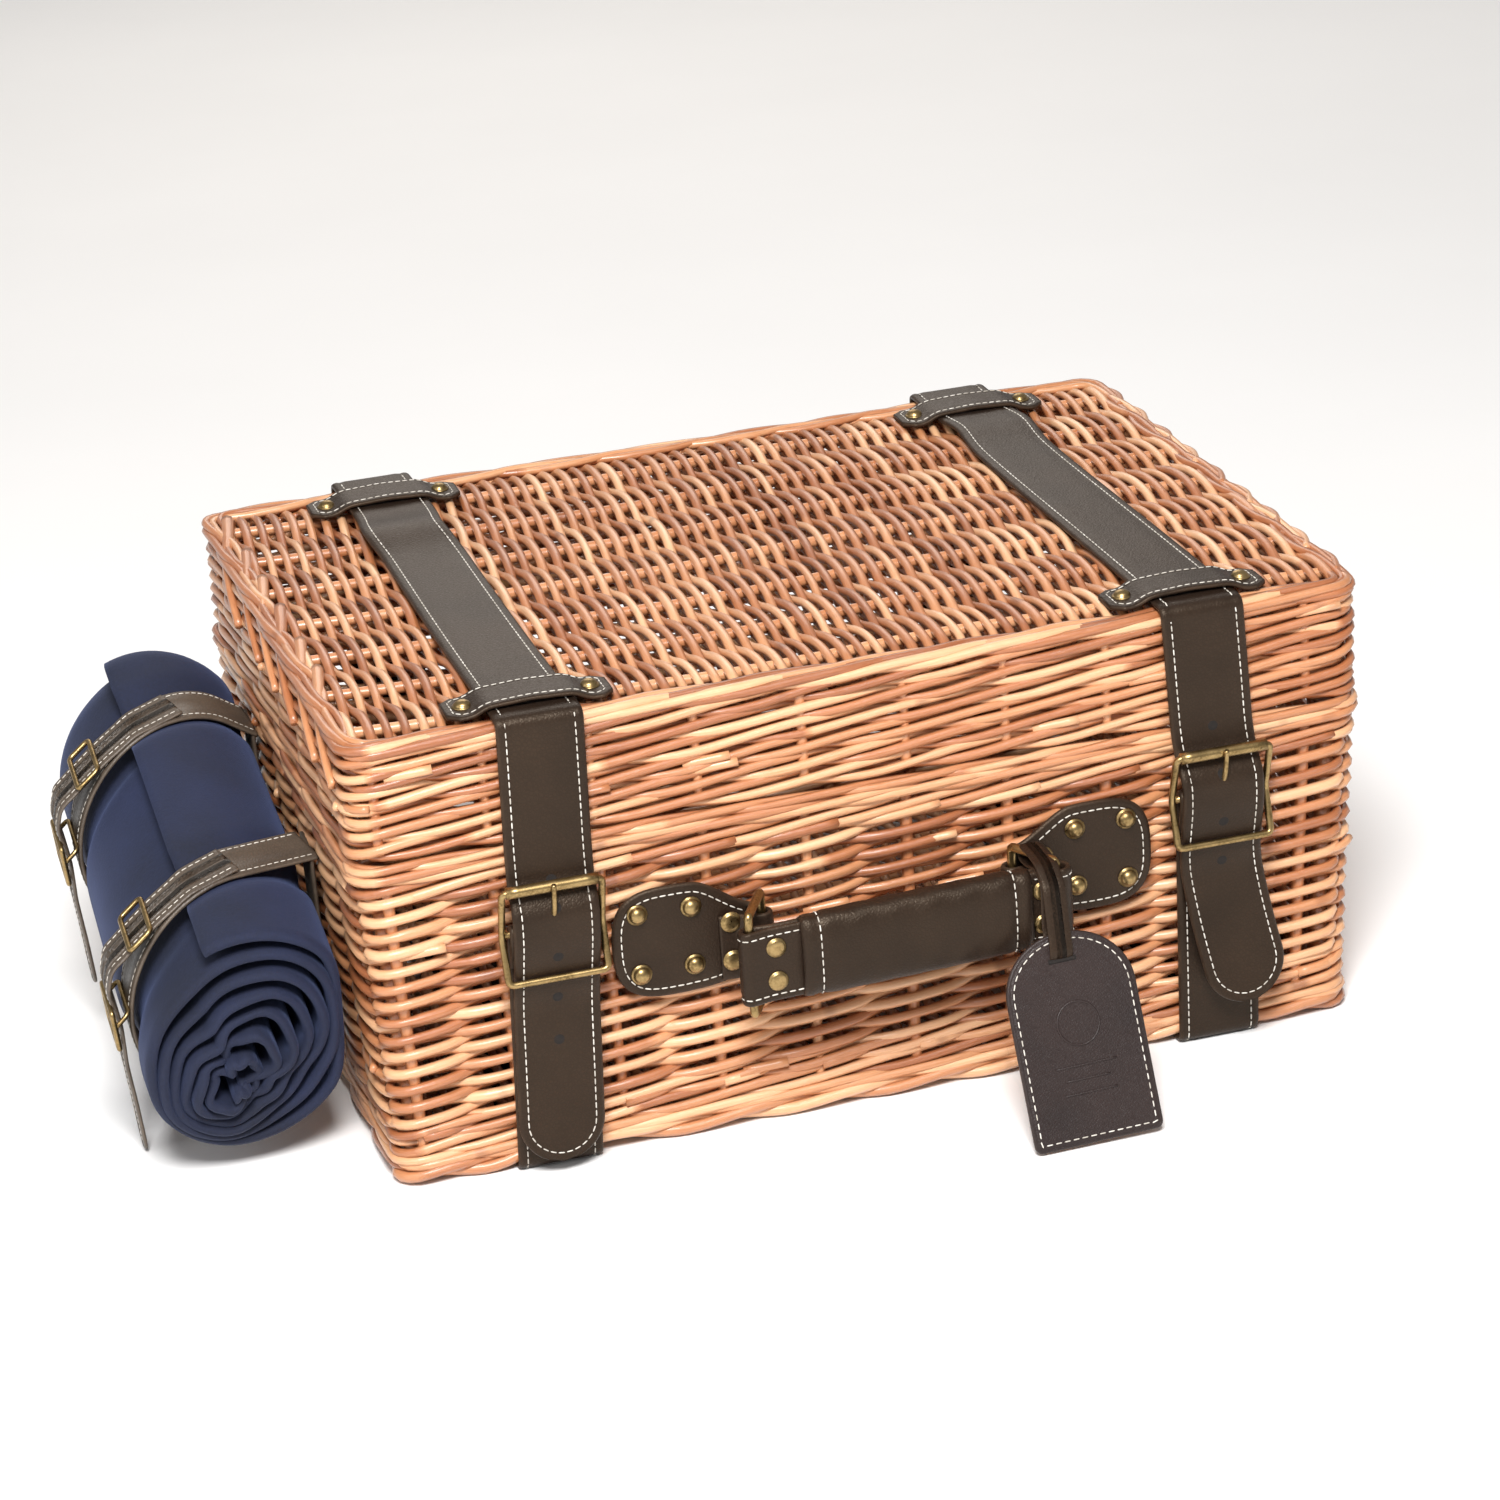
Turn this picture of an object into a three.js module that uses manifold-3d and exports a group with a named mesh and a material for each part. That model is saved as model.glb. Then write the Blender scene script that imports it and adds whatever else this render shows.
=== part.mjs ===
// Wicker picnic basket: a willow hamper with a hinged lid, two wrap-round leather straps,
// a carrying handle on wire rings, a luggage tag, and a rolled blanket strapped to its left end.
// Millimetres. Origin: centre of the woven base's underside. +X right, -Y front, +Z up.
import * as THREE from 'three';
import { ConvexGeometry } from 'three/addons/geometries/ConvexGeometry.js';
import { mergeVertices } from 'three/addons/utils/BufferGeometryUtils.js';
import Module from 'manifold-3d';

const wasm = await Module();
wasm.setup();

// ---- hamper
const WIDTH = 460; // at the lid, left to right
const DEPTH = 340; // at the lid, front to back
const HEIGHT = 208; // top of the lid
const LID_HEIGHT = 54; // of the lid's rims
const BODY_HEIGHT = HEIGHT - LID_HEIGHT; // line between body and lid
const LEAN_X = 7.5; // how far each end wall leans in at the foot
const LEAN_Y = 5; // how far the front and back walls lean in at the foot
const WALL = 8; // thickness of woven walls
const PANEL = 8; // thickness of the lid panel
const FOOT = 12; // height and thickness of the foot border
const BORDER = 12; // thickness of the body's top border
const BORDER_HEIGHT = 7.7;
const PROUD = 0.5; // how far the borders stand out of the walls
const POST = 7; // radius of the corner stakes
const CHAMFER = 6; // cut off the outer corners of the rims and borders
const GAP = 0.4; // clearance between pieces that touch
const SEAM = 0.3; // clearance between pieces of weave
const WINDOW = 0.6; // clearance beside a hinge loop

// ---- lid hinge
const ROD = 3; // radius of the lid's hinge rod, and of the border rod below it
const HINGE_Y = DEPTH / 2 - ROD;
const HINGE_Z = BODY_HEIGHT + 4;
const BORDER_ROD_Z = HINGE_Z - 9;
const LOOP_WIDTH = 10;
const LOOP_THICKNESS = 2.5;
const LOOP_X = WIDTH / 2 - 147; // of each cane loop, from the middle

// ---- wrap-round straps
const LEATHER = 3; // thickness
const STRAP_WIDTH = 38;
const STRAP_LEFT_X = -WIDTH / 2 + 86;
const STRAP_RIGHT_X = WIDTH / 2 - 79;
const WIRE = 1.6; // radius of the buckle wire
const ROLLER = 2.8; // radius of the buckle's thick top bar
const TONGUE = 1.3; // radius of the buckle's tongue
const BUCKLE_Z = BODY_HEIGHT - 39; // centre bar of the left buckle
const BUCKLE_RISE = 7; // how much higher the right buckle sits
const BUCKLE_UP = 22; // centre bar to top bar
const BUCKLE_DOWN = 21; // centre bar to lower bar
const HOLE_RADIUS = 2;
const HOLE_STEP = 20.5;
const HOLE_DROP = 11; // from the centre bar to the first hole below it
const HOLE_RISE = 20; // from the centre bar to the hole by the tongue's tip
const SLOT_CLEAR = 0.75; // on each side of a tongue in its slot
const BUCKLE_CLEAR = 0.3; // between the buckle's wire and the leather folded round it
const TAIL_LIFT_TOP = 4.3; // how much nearer the wall the tail lies at the top bar
const TAIL_LIFT_LOW = 4.4; // and at the lower bar
const BAR_CLEAR = 0.6; // between the tail and the bar in front of it
const TAIL_TIP_LEFT = 6;
const TAIL_TIP_RIGHT = 23;

// ---- keepers on the lid
const KEEPER_LENGTH = STRAP_WIDTH + 34;
const KEEPER_WIDTH = 25;
const KEEPER_THICKNESS = 2.5;
const KEEPER_CLIP = 7; // cut off the keeper's corners
const KEEPER_FRONT_Y = -DEPTH / 2 + 20;
const KEEPER_BACK_Y = DEPTH / 2 - 35;
const RIVET = 4.5; // radius of a rivet's dome
const RIVET_X = STRAP_WIDTH / 2 + 8;

// ---- handle
const ANCHOR_LENGTH = 66;
const ANCHOR_NARROW = 31;
const ANCHOR_WIDE = 55;
const ANCHOR_LIFT = 5; // how much higher the wide end sits than the fold
const ANCHOR_CLEAR_LEFT = 4; // between the left strap's edge and the plate
const ANCHOR_CLEAR_RIGHT = 7;
// where each plate folds round its ring
const ANCHOR_FOLD_LEFT = STRAP_LEFT_X + STRAP_WIDTH / 2 + ANCHOR_CLEAR_LEFT + ANCHOR_LENGTH;
const ANCHOR_FOLD_RIGHT = STRAP_RIGHT_X - STRAP_WIDTH / 2 - ANCHOR_CLEAR_RIGHT - ANCHOR_LENGTH;
const HANDLE_Z = BODY_HEIGHT - 64.5; // middle of the handle
const RING_WIRE = 2;
const RING_REACH = 26; // between a ring's two upright bars
const RING_HEIGHT = 43;
const RING_SPLAY = 28; // degrees away from straight out
const HANDLE_HEIGHT = 34;
const HANDLE_THICKNESS = 6;
const HANDLE_PLAY = 1.4; // slack round the right ring, which lets the linkage swing
const GRIP_LENGTH = 104;
const GRIP_HEIGHT = 38;
const GRIP_THICKNESS = 16;
const GRIP_OFF = 4.5; // how far the grip sits off the handle's middle
const GRIP_X = (ANCHOR_FOLD_LEFT + ANCHOR_FOLD_RIGHT) / 2 + GRIP_OFF;

// ---- luggage tag
const TAG_WIDTH = 57;
const TAG_LENGTH = 92;
const TAG_THICKNESS = 2.6;
const TAG_DROP = 24; // from the ring's top to the tag's top edge
const TAG_GAP = 7; // between the handle's fold and the top of the tag
const TAG_HOLE = 9; // below the tag's top edge
const TAG_CORD = 1.6; // radius of its loop

// ---- blanket roll
const ROLL_RADIUS = 48;
const ROLL_X = -WIDTH / 2 - ROLL_RADIUS - 2; // axis
const ROLL_NEAR_Y = -128;
const ROLL_NEAR_Z = BODY_HEIGHT - 82;
const ROLL_TILT = 12.5; // degrees, the far end is higher
const ROLL_LENGTH = 254;
const CARRY_WIDTH = 22; // of the two straps round the roll
const CARRY_THICKNESS = 2.5;
const CARRY_FRONT = 68; // along the roll, from its near end
const CARRY_BACK = 196;
const CARRY_TOP = BODY_HEIGHT - 16; // height where the back strap leaves the basket's end
const CARRY_TOP_STEP = 12; // the front strap leaves it this much lower
const CARRY_FOOT = 22;
const CARRY_TAIL = 52;
const CARRY_WIRE = 1.25;

const group = new THREE.Group();

const LOOKS = {
  willow: { color: 0xc8935f, roughness: 0.55, metalness: 0 },
  cane: { color: 0xd8b07a, roughness: 0.5, metalness: 0 },
  leather: { color: 0x33281f, roughness: 0.5, metalness: 0 },
  taupe: { color: 0x6b5d50, roughness: 0.6, metalness: 0 },
  brass: { color: 0xa8823f, roughness: 0.35, metalness: 1 },
  wool: { color: 0x1b2440, roughness: 0.9, metalness: 0 },
};

function add(name, geometry, look) {
  const mesh = new THREE.Mesh(geometry, new THREE.MeshStandardMaterial(LOOKS[look]));
  mesh.name = name;
  group.add(mesh);
}

// ---- solids

function solid(geometry) {
  const bare = geometry.clone();
  bare.deleteAttribute('normal');
  bare.deleteAttribute('uv');
  const merged = mergeVertices(bare, 1e-3);
  return new wasm.Manifold(new wasm.Mesh({
    numProp: 3,
    vertProperties: new Float32Array(merged.attributes.position.array),
    triVerts: new Uint32Array(merged.index.array),
  }));
}

function geometryOf(made) {
  const mesh = made.getMesh();
  const geometry = new THREE.BufferGeometry();
  geometry.setAttribute('position', new THREE.BufferAttribute(new Float32Array(mesh.vertProperties), 3));
  geometry.setIndex(new THREE.BufferAttribute(new Uint32Array(mesh.triVerts), 1));
  geometry.computeVertexNormals();
  return geometry;
}

function cut(geometry, ...cutters) {
  return geometryOf(cutters.reduce((left, cutter) => left.subtract(solid(cutter)), solid(geometry)));
}

function join(geometry, ...more) {
  return geometryOf(more.reduce((sum, piece) => sum.add(solid(piece)), solid(geometry)));
}

function box(x0, x1, y0, y1, z0, z1) {
  return new THREE.BoxGeometry(x1 - x0, y1 - y0, z1 - z0)
    .translate((x0 + x1) / 2, (y0 + y1) / 2, (z0 + z1) / 2);
}

function extrude(shape, depth) {
  return new THREE.ExtrudeGeometry(shape, { depth, bevelEnabled: false, curveSegments: 12 });
}

// A plan outline raised from one height to another.
function prism(outline, z0, z1) {
  const shape = new THREE.Shape(outline.map(([x, y]) => new THREE.Vector2(x, y)));
  return extrude(shape, z1 - z0).translate(0, 0, z0);
}

// A shape drawn across (Y, Z) and run along X, centred on x.
function alongX(shape, x, width) {
  const geometry = extrude(shape, width).translate(0, 0, -width / 2);
  const turn = new THREE.Matrix4().makeBasis(
    new THREE.Vector3(0, 1, 0), new THREE.Vector3(0, 0, 1), new THREE.Vector3(1, 0, 0));
  return geometry.applyMatrix4(turn).translate(x, 0, 0);
}

// A shape drawn across (X, Z) and run along Y, centred on y.
function alongY(shape, y, width) {
  return extrude(shape, width).translate(0, 0, -width / 2).rotateX(Math.PI / 2).translate(0, y, 0);
}

// A cylinder along X.
function barX(x0, x1, y, z, radius) {
  return new THREE.CylinderGeometry(radius, radius, x1 - x0, 12)
    .rotateZ(Math.PI / 2).translate((x0 + x1) / 2, y, z);
}

// The outline of a strip of one thickness that follows an open path of [a, b] points.
function strip(path, thickness) {
  const side = (sign) => path.map(([a, b], i) => {
    const [pa, pb] = path[Math.max(i - 1, 0)];
    const [na, nb] = path[Math.min(i + 1, path.length - 1)];
    const along = new THREE.Vector2(na - pa, nb - pb).normalize();
    return new THREE.Vector2(a - along.y * sign * thickness / 2, b + along.x * sign * thickness / 2);
  });
  return new THREE.Shape([...side(-1), ...side(1).reverse()]);
}

// Points of a path with its corners rounded off by quadratic bends.
function rounded(points, reach, closed = false, steps = 5) {
  const at = (i) => points[(i + points.length) % points.length];
  const made = [];
  points.forEach((corner, i) => {
    if (!closed && (i === 0 || i === points.length - 1)) {
      made.push(corner.clone());
      return;
    }
    const before = at(i - 1).clone().sub(corner);
    const after = at(i + 1).clone().sub(corner);
    const from = before.clone().setLength(Math.min(reach, before.length() * 0.48)).add(corner);
    const to = after.clone().setLength(Math.min(reach, after.length() * 0.48)).add(corner);
    for (let k = 0; k <= steps; k += 1) {
      const t = k / steps;
      made.push(from.clone().multiplyScalar((1 - t) ** 2)
        .addScaledVector(corner, 2 * t * (1 - t)).addScaledVector(to, t * t));
    }
  });
  return made;
}

const flat = (pairs) => pairs.map(([a, b]) => new THREE.Vector2(a, b));
const pairs = (vectors) => vectors.map((v) => [v.x, v.y]);
const roundedPath = (list, reach) => pairs(rounded(flat(list), reach));

// A curve that passes through its points one after another.
class Through extends THREE.Curve {
  constructor(points, closed = false) {
    super();
    this.points = points;
    this.closed = closed;
  }

  getPoint(t) {
    const last = this.closed ? this.points.length : this.points.length - 1;
    const place = Math.min(Math.max(t, 0), 1) * last;
    const i = Math.min(Math.floor(place), last - 1);
    const next = this.points[(i + 1) % this.points.length];
    return this.points[i].clone().lerp(next, place - i);
  }

  getPointAt(t) {
    return this.getPoint(t);
  }

  getTangentAt(t) {
    const step = 0.5 / this.points.length;
    const wrap = (s) => (this.closed ? (s + 1) % 1 : s);
    return this.getPoint(wrap(t + step)).sub(this.getPoint(wrap(t - step))).normalize();
  }
}

function wireLoop(points, radius, sides = 8) {
  return new THREE.TubeGeometry(new Through(points, true), points.length, radius, sides, true);
}

function wire(points, radius, sides = 8) {
  const section = new THREE.Shape();
  for (let i = 0; i < sides; i += 1) {
    const angle = (2 * Math.PI * i) / sides;
    const place = [radius * Math.cos(angle), radius * Math.sin(angle)];
    if (i === 0) section.moveTo(...place);
    else section.lineTo(...place);
  }
  return new THREE.ExtrudeGeometry(section, {
    steps: points.length - 1, extrudePath: new Through(points), bevelEnabled: false,
  });
}

// ---- hamper body

const halfWidth = (z) => WIDTH / 2 - LEAN_X * (1 - Math.min(z / BODY_HEIGHT, 1));
const halfDepth = (z) => DEPTH / 2 - LEAN_Y * (1 - Math.min(z / BODY_HEIGHT, 1));
const WALL_FOOT = FOOT + SEAM;
const WALL_TOP = BODY_HEIGHT - BORDER_HEIGHT - 2 * SEAM;
const BORDER_FOOT = WALL_TOP + SEAM;
const BORDER_TOP = BORDER_FOOT + BORDER_HEIGHT;
const LID_FOOT = BORDER_TOP + 2 * SEAM;

function chamfered(hx, hy, c) {
  return [[hx - c, -hy], [hx, -hy + c], [hx, hy - c], [hx - c, hy],
    [-hx + c, hy], [-hx, hy - c], [-hx, -hy + c], [-hx + c, -hy]];
}

function basePanel(channels) {
  const hx = halfWidth(0) - FOOT - SEAM;
  const hy = halfDepth(0) - FOOT - SEAM;
  add('base_panel', cut(box(-hx, hx, -hy, hy, 0, FOOT), ...channels), 'willow');
}

function footBorder(channels) {
  const hx = halfWidth(0);
  const hy = halfDepth(0);
  const outer = prism(chamfered(hx + PROUD, hy + PROUD, CHAMFER), 0, FOOT);
  const inside = box(-hx + FOOT, hx - FOOT, -hy + FOOT, hy - FOOT, -1, FOOT + 1);
  add('foot_border', cut(outer, inside, ...channels), 'willow');
}

function slopingSlab(corners) {
  return new ConvexGeometry(corners.map(([x, y, z]) => new THREE.Vector3(x, y, z)));
}

function frontWall(sign, ...cutters) {
  const corners = [];
  for (const z of [WALL_FOOT, WALL_TOP]) {
    const hx = halfWidth(z) - 2 * POST - 3 * SEAM;
    const hy = halfDepth(z);
    for (const x of [-hx, hx]) corners.push([x, sign * hy, z], [x, sign * (hy - WALL), z]);
  }
  return cut(slopingSlab(corners), ...cutters);
}

function endWall(sign) {
  const corners = [];
  for (const z of [WALL_FOOT, WALL_TOP]) {
    const hx = halfWidth(z);
    const hy = halfDepth(z) - 2 * POST - 3 * SEAM;
    for (const y of [-hy, hy]) corners.push([sign * hx, y, z], [sign * (hx - WALL), y, z]);
  }
  return slopingSlab(corners);
}

function cornerPost(signX, signY) {
  const inset = POST + SEAM;
  const low = [signX * (halfWidth(WALL_FOOT) - inset), signY * (halfDepth(WALL_FOOT) - inset)];
  const high = [signX * (halfWidth(WALL_TOP) - inset), signY * (halfDepth(WALL_TOP) - inset)];
  const rise = WALL_TOP - WALL_FOOT;
  const slant = new THREE.Matrix4().set(
    1, 0, (high[0] - low[0]) / rise, low[0],
    0, 1, (high[1] - low[1]) / rise, low[1],
    0, 0, 1, WALL_FOOT,
    0, 0, 0, 1,
  );
  return new THREE.CylinderGeometry(POST, POST, rise, 16).rotateX(Math.PI / 2)
    .translate(0, 0, rise / 2).applyMatrix4(slant);
}

// The four sides of the body's top border; the back one is thinned to a rod at each hinge loop.
function topBorder() {
  const hx = halfWidth(BODY_HEIGHT) + PROUD;
  const hy = halfDepth(BODY_HEIGHT) + PROUD;
  const across = (sign) => prism([
    [-hx, sign * (hy - CHAMFER)], [-hx, sign * (hy - BORDER)], [hx, sign * (hy - BORDER)],
    [hx, sign * (hy - CHAMFER)], [hx - CHAMFER, sign * hy], [-hx + CHAMFER, sign * hy],
  ], BORDER_FOOT, BORDER_TOP);
  const end = hy - BORDER - SEAM;
  add('border_front', across(-1), 'willow');
  add('border_left', box(-hx, -hx + BORDER, -end, end, BORDER_FOOT, BORDER_TOP), 'willow');
  add('border_right', box(hx - BORDER, hx, -end, end, BORDER_FOOT, BORDER_TOP), 'willow');
  const rods = [-1, 1].map((side) => barX(
    side * LOOP_X - LOOP_WIDTH, side * LOOP_X + LOOP_WIDTH, HINGE_Y, BORDER_ROD_Z, ROD));
  add('border_back', join(cut(across(1), ...hingeWindows()), ...rods), 'willow');
}

function hingeWindows() {
  const half = LOOP_WIDTH / 2 + WINDOW;
  const reach = ROD + GAP + LOOP_THICKNESS + GAP;
  return [-1, 1].map((side) => box(side * LOOP_X - half, side * LOOP_X + half,
    HINGE_Y - reach, HINGE_Y + 2 * reach, BORDER_ROD_Z - reach - GAP, HINGE_Z + reach + 2 * WINDOW));
}

function hingeLoop(side) {
  const stadium = (radius, Shape) => {
    const path = new Shape();
    path.absarc(HINGE_Y, HINGE_Z, radius, 0, Math.PI, false);
    path.absarc(HINGE_Y, BORDER_ROD_Z, radius, Math.PI, 2 * Math.PI, false);
    path.closePath();
    return path;
  };
  const shape = stadium(ROD + GAP + LOOP_THICKNESS, THREE.Shape);
  shape.holes.push(stadium(ROD + GAP, THREE.Path));
  return alongX(shape, side * LOOP_X, LOOP_WIDTH);
}

function body(channels) {
  basePanel(channels);
  footBorder(channels);
  add('wall_front', frontWall(-1), 'willow');
  add('wall_back', frontWall(1, ...hingeWindows()), 'willow');
  add('wall_left', endWall(-1), 'willow');
  add('wall_right', endWall(1), 'willow');
  add('post_front_left', cornerPost(-1, -1), 'willow');
  add('post_front_right', cornerPost(1, -1), 'willow');
  add('post_back_left', cornerPost(-1, 1), 'willow');
  add('post_back_right', cornerPost(1, 1), 'willow');
  topBorder();
  add('hinge_loop_left', hingeLoop(-1), 'cane');
  add('hinge_loop_right', hingeLoop(1), 'cane');
}

// ---- lid

function lid() {
  const hx = WIDTH / 2;
  const front = -DEPTH / 2;
  const back = HINGE_Y;
  const inX = hx - WALL - SEAM;
  const inFront = front + WALL + SEAM;
  const inBack = back - WALL - SEAM;
  add('lid_panel', box(-inX, inX, inFront, inBack, HEIGHT - PANEL, HEIGHT), 'willow');
  add('lid_rim_front', prism([
    [-hx + CHAMFER, front], [hx - CHAMFER, front], [hx, front + CHAMFER],
    [hx, front + WALL], [-hx, front + WALL], [-hx, front + CHAMFER],
  ], LID_FOOT, HEIGHT), 'willow');
  add('lid_rim_left', box(-hx, -hx + WALL, inFront, inBack, LID_FOOT, HEIGHT), 'willow');
  add('lid_rim_right', box(hx - WALL, hx, inFront, inBack, LID_FOOT, HEIGHT), 'willow');
  const whole = prism([
    [hx - CHAMFER, back], [-hx + CHAMFER, back], [-hx, back - CHAMFER],
    [-hx, back - WALL], [hx, back - WALL], [hx, back - CHAMFER],
  ], LID_FOOT, HEIGHT);
  const seat = box(-hx - 1, hx + 1, back - ROD - GAP, back + 1, LID_FOOT - 1, HINGE_Z + ROD + GAP);
  add('lid_rim_back', cut(whole, seat, ...hingeWindows()), 'willow');
  add('lid_hinge_rod', barX(-hx + CHAMFER, hx - CHAMFER, HINGE_Y, HINGE_Z, ROD), 'willow');
}

// ---- wrap-round straps

const strapY = (z) => halfDepth(z) + PROUD + GAP + LEATHER / 2; // middle of the leather on the body
const LID_STRAP_Y = DEPTH / 2 + PROUD + GAP + LEATHER / 2;
const LID_STRAP_Z = HEIGHT + GAP + LEATHER / 2;
const LID_STRAP_BACK = HINGE_Y + 2 * GAP + LEATHER / 2;

// Everything about one buckle that its strap, its tail and its tongue share.
function buckleAt(x, rise, tip) {
  const z = BUCKLE_Z + rise;
  const strap = -strapY(z);
  const fold = WIRE + BUCKLE_CLEAR + LEATHER / 2;
  const bar = strap - fold;
  const tail = bar - fold - LEATHER - GAP;
  const topTail = tail + TAIL_LIFT_TOP;
  const lowTail = tail + TAIL_LIFT_LOW;
  return {
    x, z, tip, strap, fold, bar, tail, topTail, lowTail,
    top: topTail - LEATHER / 2 - BAR_CLEAR - ROLLER,
    low: lowTail - LEATHER / 2 - BAR_CLEAR - WIRE,
  };
}

function lowerStrapPath(buckle) {
  const foot = LEATHER / 2;
  const backTop = HINGE_Z - 9.3;
  const path = roundedPath([
    [strapY(backTop), backTop], [strapY(8), 8], [strapY(0), foot],
    [-strapY(0), foot], [-strapY(8), 8], [buckle.strap, buckle.z],
  ], 5);
  for (let k = 1; k <= 6; k += 1) {
    const angle = (Math.PI * k) / 6;
    path.push([buckle.bar + buckle.fold * Math.cos(angle), buckle.z + buckle.fold * Math.sin(angle)]);
  }
  const inner = buckle.strap - LEATHER - GAP;
  path.push([(buckle.bar - buckle.fold + inner) / 2, buckle.z - 6], [inner, buckle.z - 12], [inner, buckle.z - 16]);
  return path;
}

function lowerStrap(name, buckle) {
  const band = alongX(strip(lowerStrapPath(buckle), LEATHER), buckle.x, STRAP_WIDTH);
  const slot = box(buckle.x - TONGUE - SLOT_CLEAR, buckle.x + TONGUE + SLOT_CLEAR,
    buckle.bar - 8, buckle.strap + 2.2, buckle.z - 9, buckle.z + 8);
  add(name, cut(band, slot), 'leather');
}

function strapChannel(x) {
  const foot = LEATHER / 2;
  const path = roundedPath([
    [strapY(30), 30], [strapY(8), 8], [strapY(0), foot], [-strapY(0), foot], [-strapY(8), 8], [-strapY(30), 30],
  ], 5);
  return alongX(strip(path, LEATHER + 1.4 * GAP), x, STRAP_WIDTH + 2 * GAP);
}

function upperStrap(name, x) {
  const path = roundedPath([
    [LID_STRAP_BACK, HINGE_Z + 7.3], [LID_STRAP_BACK, LID_STRAP_Z],
    [-LID_STRAP_Y, LID_STRAP_Z], [-LID_STRAP_Y, LID_FOOT - 0.3],
  ], 3.4);
  add(name, alongX(strip(path, LEATHER), x, STRAP_WIDTH), 'leather');
}

// The leather between the lid's part and the body's part, where it goes over the hinge.
function strapBend(name, x) {
  const path = roundedPath([
    [LID_STRAP_BACK, HINGE_Z + 6.2], [HINGE_Y + ROD + LEATHER / 2 + 0.8, HINGE_Z],
    [strapY(HINGE_Z - 9), HINGE_Z - 9],
  ], 4);
  add(name, alongX(strip(path, LEATHER), x, STRAP_WIDTH), 'leather');
}

function tailPath(buckle) {
  const rest = -strapY(buckle.z - 34) - LEATHER - GAP - 0.4;
  return roundedPath([
    [-LID_STRAP_Y, LID_FOOT - 1.6], [buckle.topTail, buckle.z + BUCKLE_UP], [buckle.tail, buckle.z + 9],
    [buckle.tail, buckle.z - 3], [buckle.lowTail, buckle.z - BUCKLE_DOWN], [rest, buckle.z - 36],
    [rest, buckle.tip],
  ], 5);
}

function strapTail(name, buckle) {
  const tipCut = (side) => prism([
    [buckle.x + side * (STRAP_WIDTH / 2 + 1), -DEPTH], [buckle.x + side * (STRAP_WIDTH / 2 + 1), 0],
    [buckle.x + side * (STRAP_WIDTH / 2 - 8), 0], [buckle.x + side * (STRAP_WIDTH / 2 - 8), -DEPTH],
  ], buckle.tip - 1, buckle.tip + 0.1);
  const band = alongX(strip(tailPath(buckle), LEATHER), buckle.x, STRAP_WIDTH);
  const holes = [HOLE_RISE, -HOLE_DROP, -HOLE_DROP - HOLE_STEP].map((rise) => new THREE.CylinderGeometry(
    HOLE_RADIUS, HOLE_RADIUS, 40, 12).translate(buckle.x, buckle.tail, buckle.z + rise));
  const slot = box(buckle.x - TONGUE - SLOT_CLEAR, buckle.x + TONGUE + SLOT_CLEAR,
    buckle.tail - 8, buckle.tail + 8, buckle.z + 1.2, buckle.z + 13.5);
  add(name, cut(band, slot, ...holes, tipCut(-1), tipCut(1)), 'leather');
}

function buckleFrame(name, buckle) {
  const half = STRAP_WIDTH / 2 + 1.3 + WIRE;
  const corner = (side, y, z) => new THREE.Vector3(buckle.x + side * half, y, z);
  const loop = rounded([
    corner(-1, buckle.top, buckle.z + BUCKLE_UP), corner(1, buckle.top, buckle.z + BUCKLE_UP),
    corner(1, buckle.bar, buckle.z), corner(1, buckle.low, buckle.z - BUCKLE_DOWN),
    corner(-1, buckle.low, buckle.z - BUCKLE_DOWN), corner(-1, buckle.bar, buckle.z),
  ], 4, true, 4);
  const reach = STRAP_WIDTH / 2;
  const roller = barX(buckle.x - reach, buckle.x + reach, buckle.top, buckle.z + BUCKLE_UP, ROLLER);
  const centre = barX(buckle.x - half, buckle.x + half, buckle.bar, buckle.z, WIRE);
  add(name, join(wireLoop(loop, WIRE), roller, centre), 'brass');
}

function buckleTongue(name, buckle) {
  const eye = new THREE.TorusGeometry(WIRE + 0.25 + TONGUE, TONGUE, 8, 20)
    .rotateY(Math.PI / 2).translate(buckle.x, buckle.bar, buckle.z);
  const over = buckle.top - ROLLER - 0.4 - TONGUE;
  const points = rounded([
    new THREE.Vector3(buckle.x, buckle.bar - 2.9, buckle.z + 1.2),
    new THREE.Vector3(buckle.x, buckle.tail - 1.9, buckle.z + 9.5),
    new THREE.Vector3(buckle.x, over, buckle.z + BUCKLE_UP + 1.5),
  ], 2.5);
  add(name, join(eye, wire(points, TONGUE)), 'brass');
}

// ---- keepers and rivets

function keeperShape(x) {
  const half = STRAP_WIDTH / 2 + GAP;
  const foot = HEIGHT + GAP;
  const roof = HEIGHT + GAP + LEATHER + GAP;
  const t = KEEPER_THICKNESS;
  const right = [
    [half, roof], [half, foot], [KEEPER_LENGTH / 2, foot], [KEEPER_LENGTH / 2, foot + t],
    [half + t, foot + t], [half + t - 0.8, roof + t - 0.6], [half + t - 2.4, roof + t],
  ];
  const mirrored = right.map(([a, b]) => [-a, b]).reverse();
  return new THREE.Shape([...right, ...mirrored].map(([a, b]) => new THREE.Vector2(x + a, b)));
}

function keeper(name, x, y) {
  const half = KEEPER_LENGTH / 2;
  const cornerCut = (sx, sy) => {
    const tip = [x + sx * (half + 1), y + sy * (KEEPER_WIDTH / 2 + 1)];
    const outline = [tip, [tip[0], tip[1] - sy * KEEPER_CLIP], [tip[0] - sx * KEEPER_CLIP, tip[1]]];
    return prism(sx * sy > 0 ? outline.reverse() : outline, HEIGHT, HEIGHT + 12);
  };
  const strap = alongY(keeperShape(x), y, KEEPER_WIDTH);
  add(name, cut(strap, cornerCut(1, 1), cornerCut(1, -1), cornerCut(-1, 1), cornerCut(-1, -1)), 'leather');
}

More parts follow.
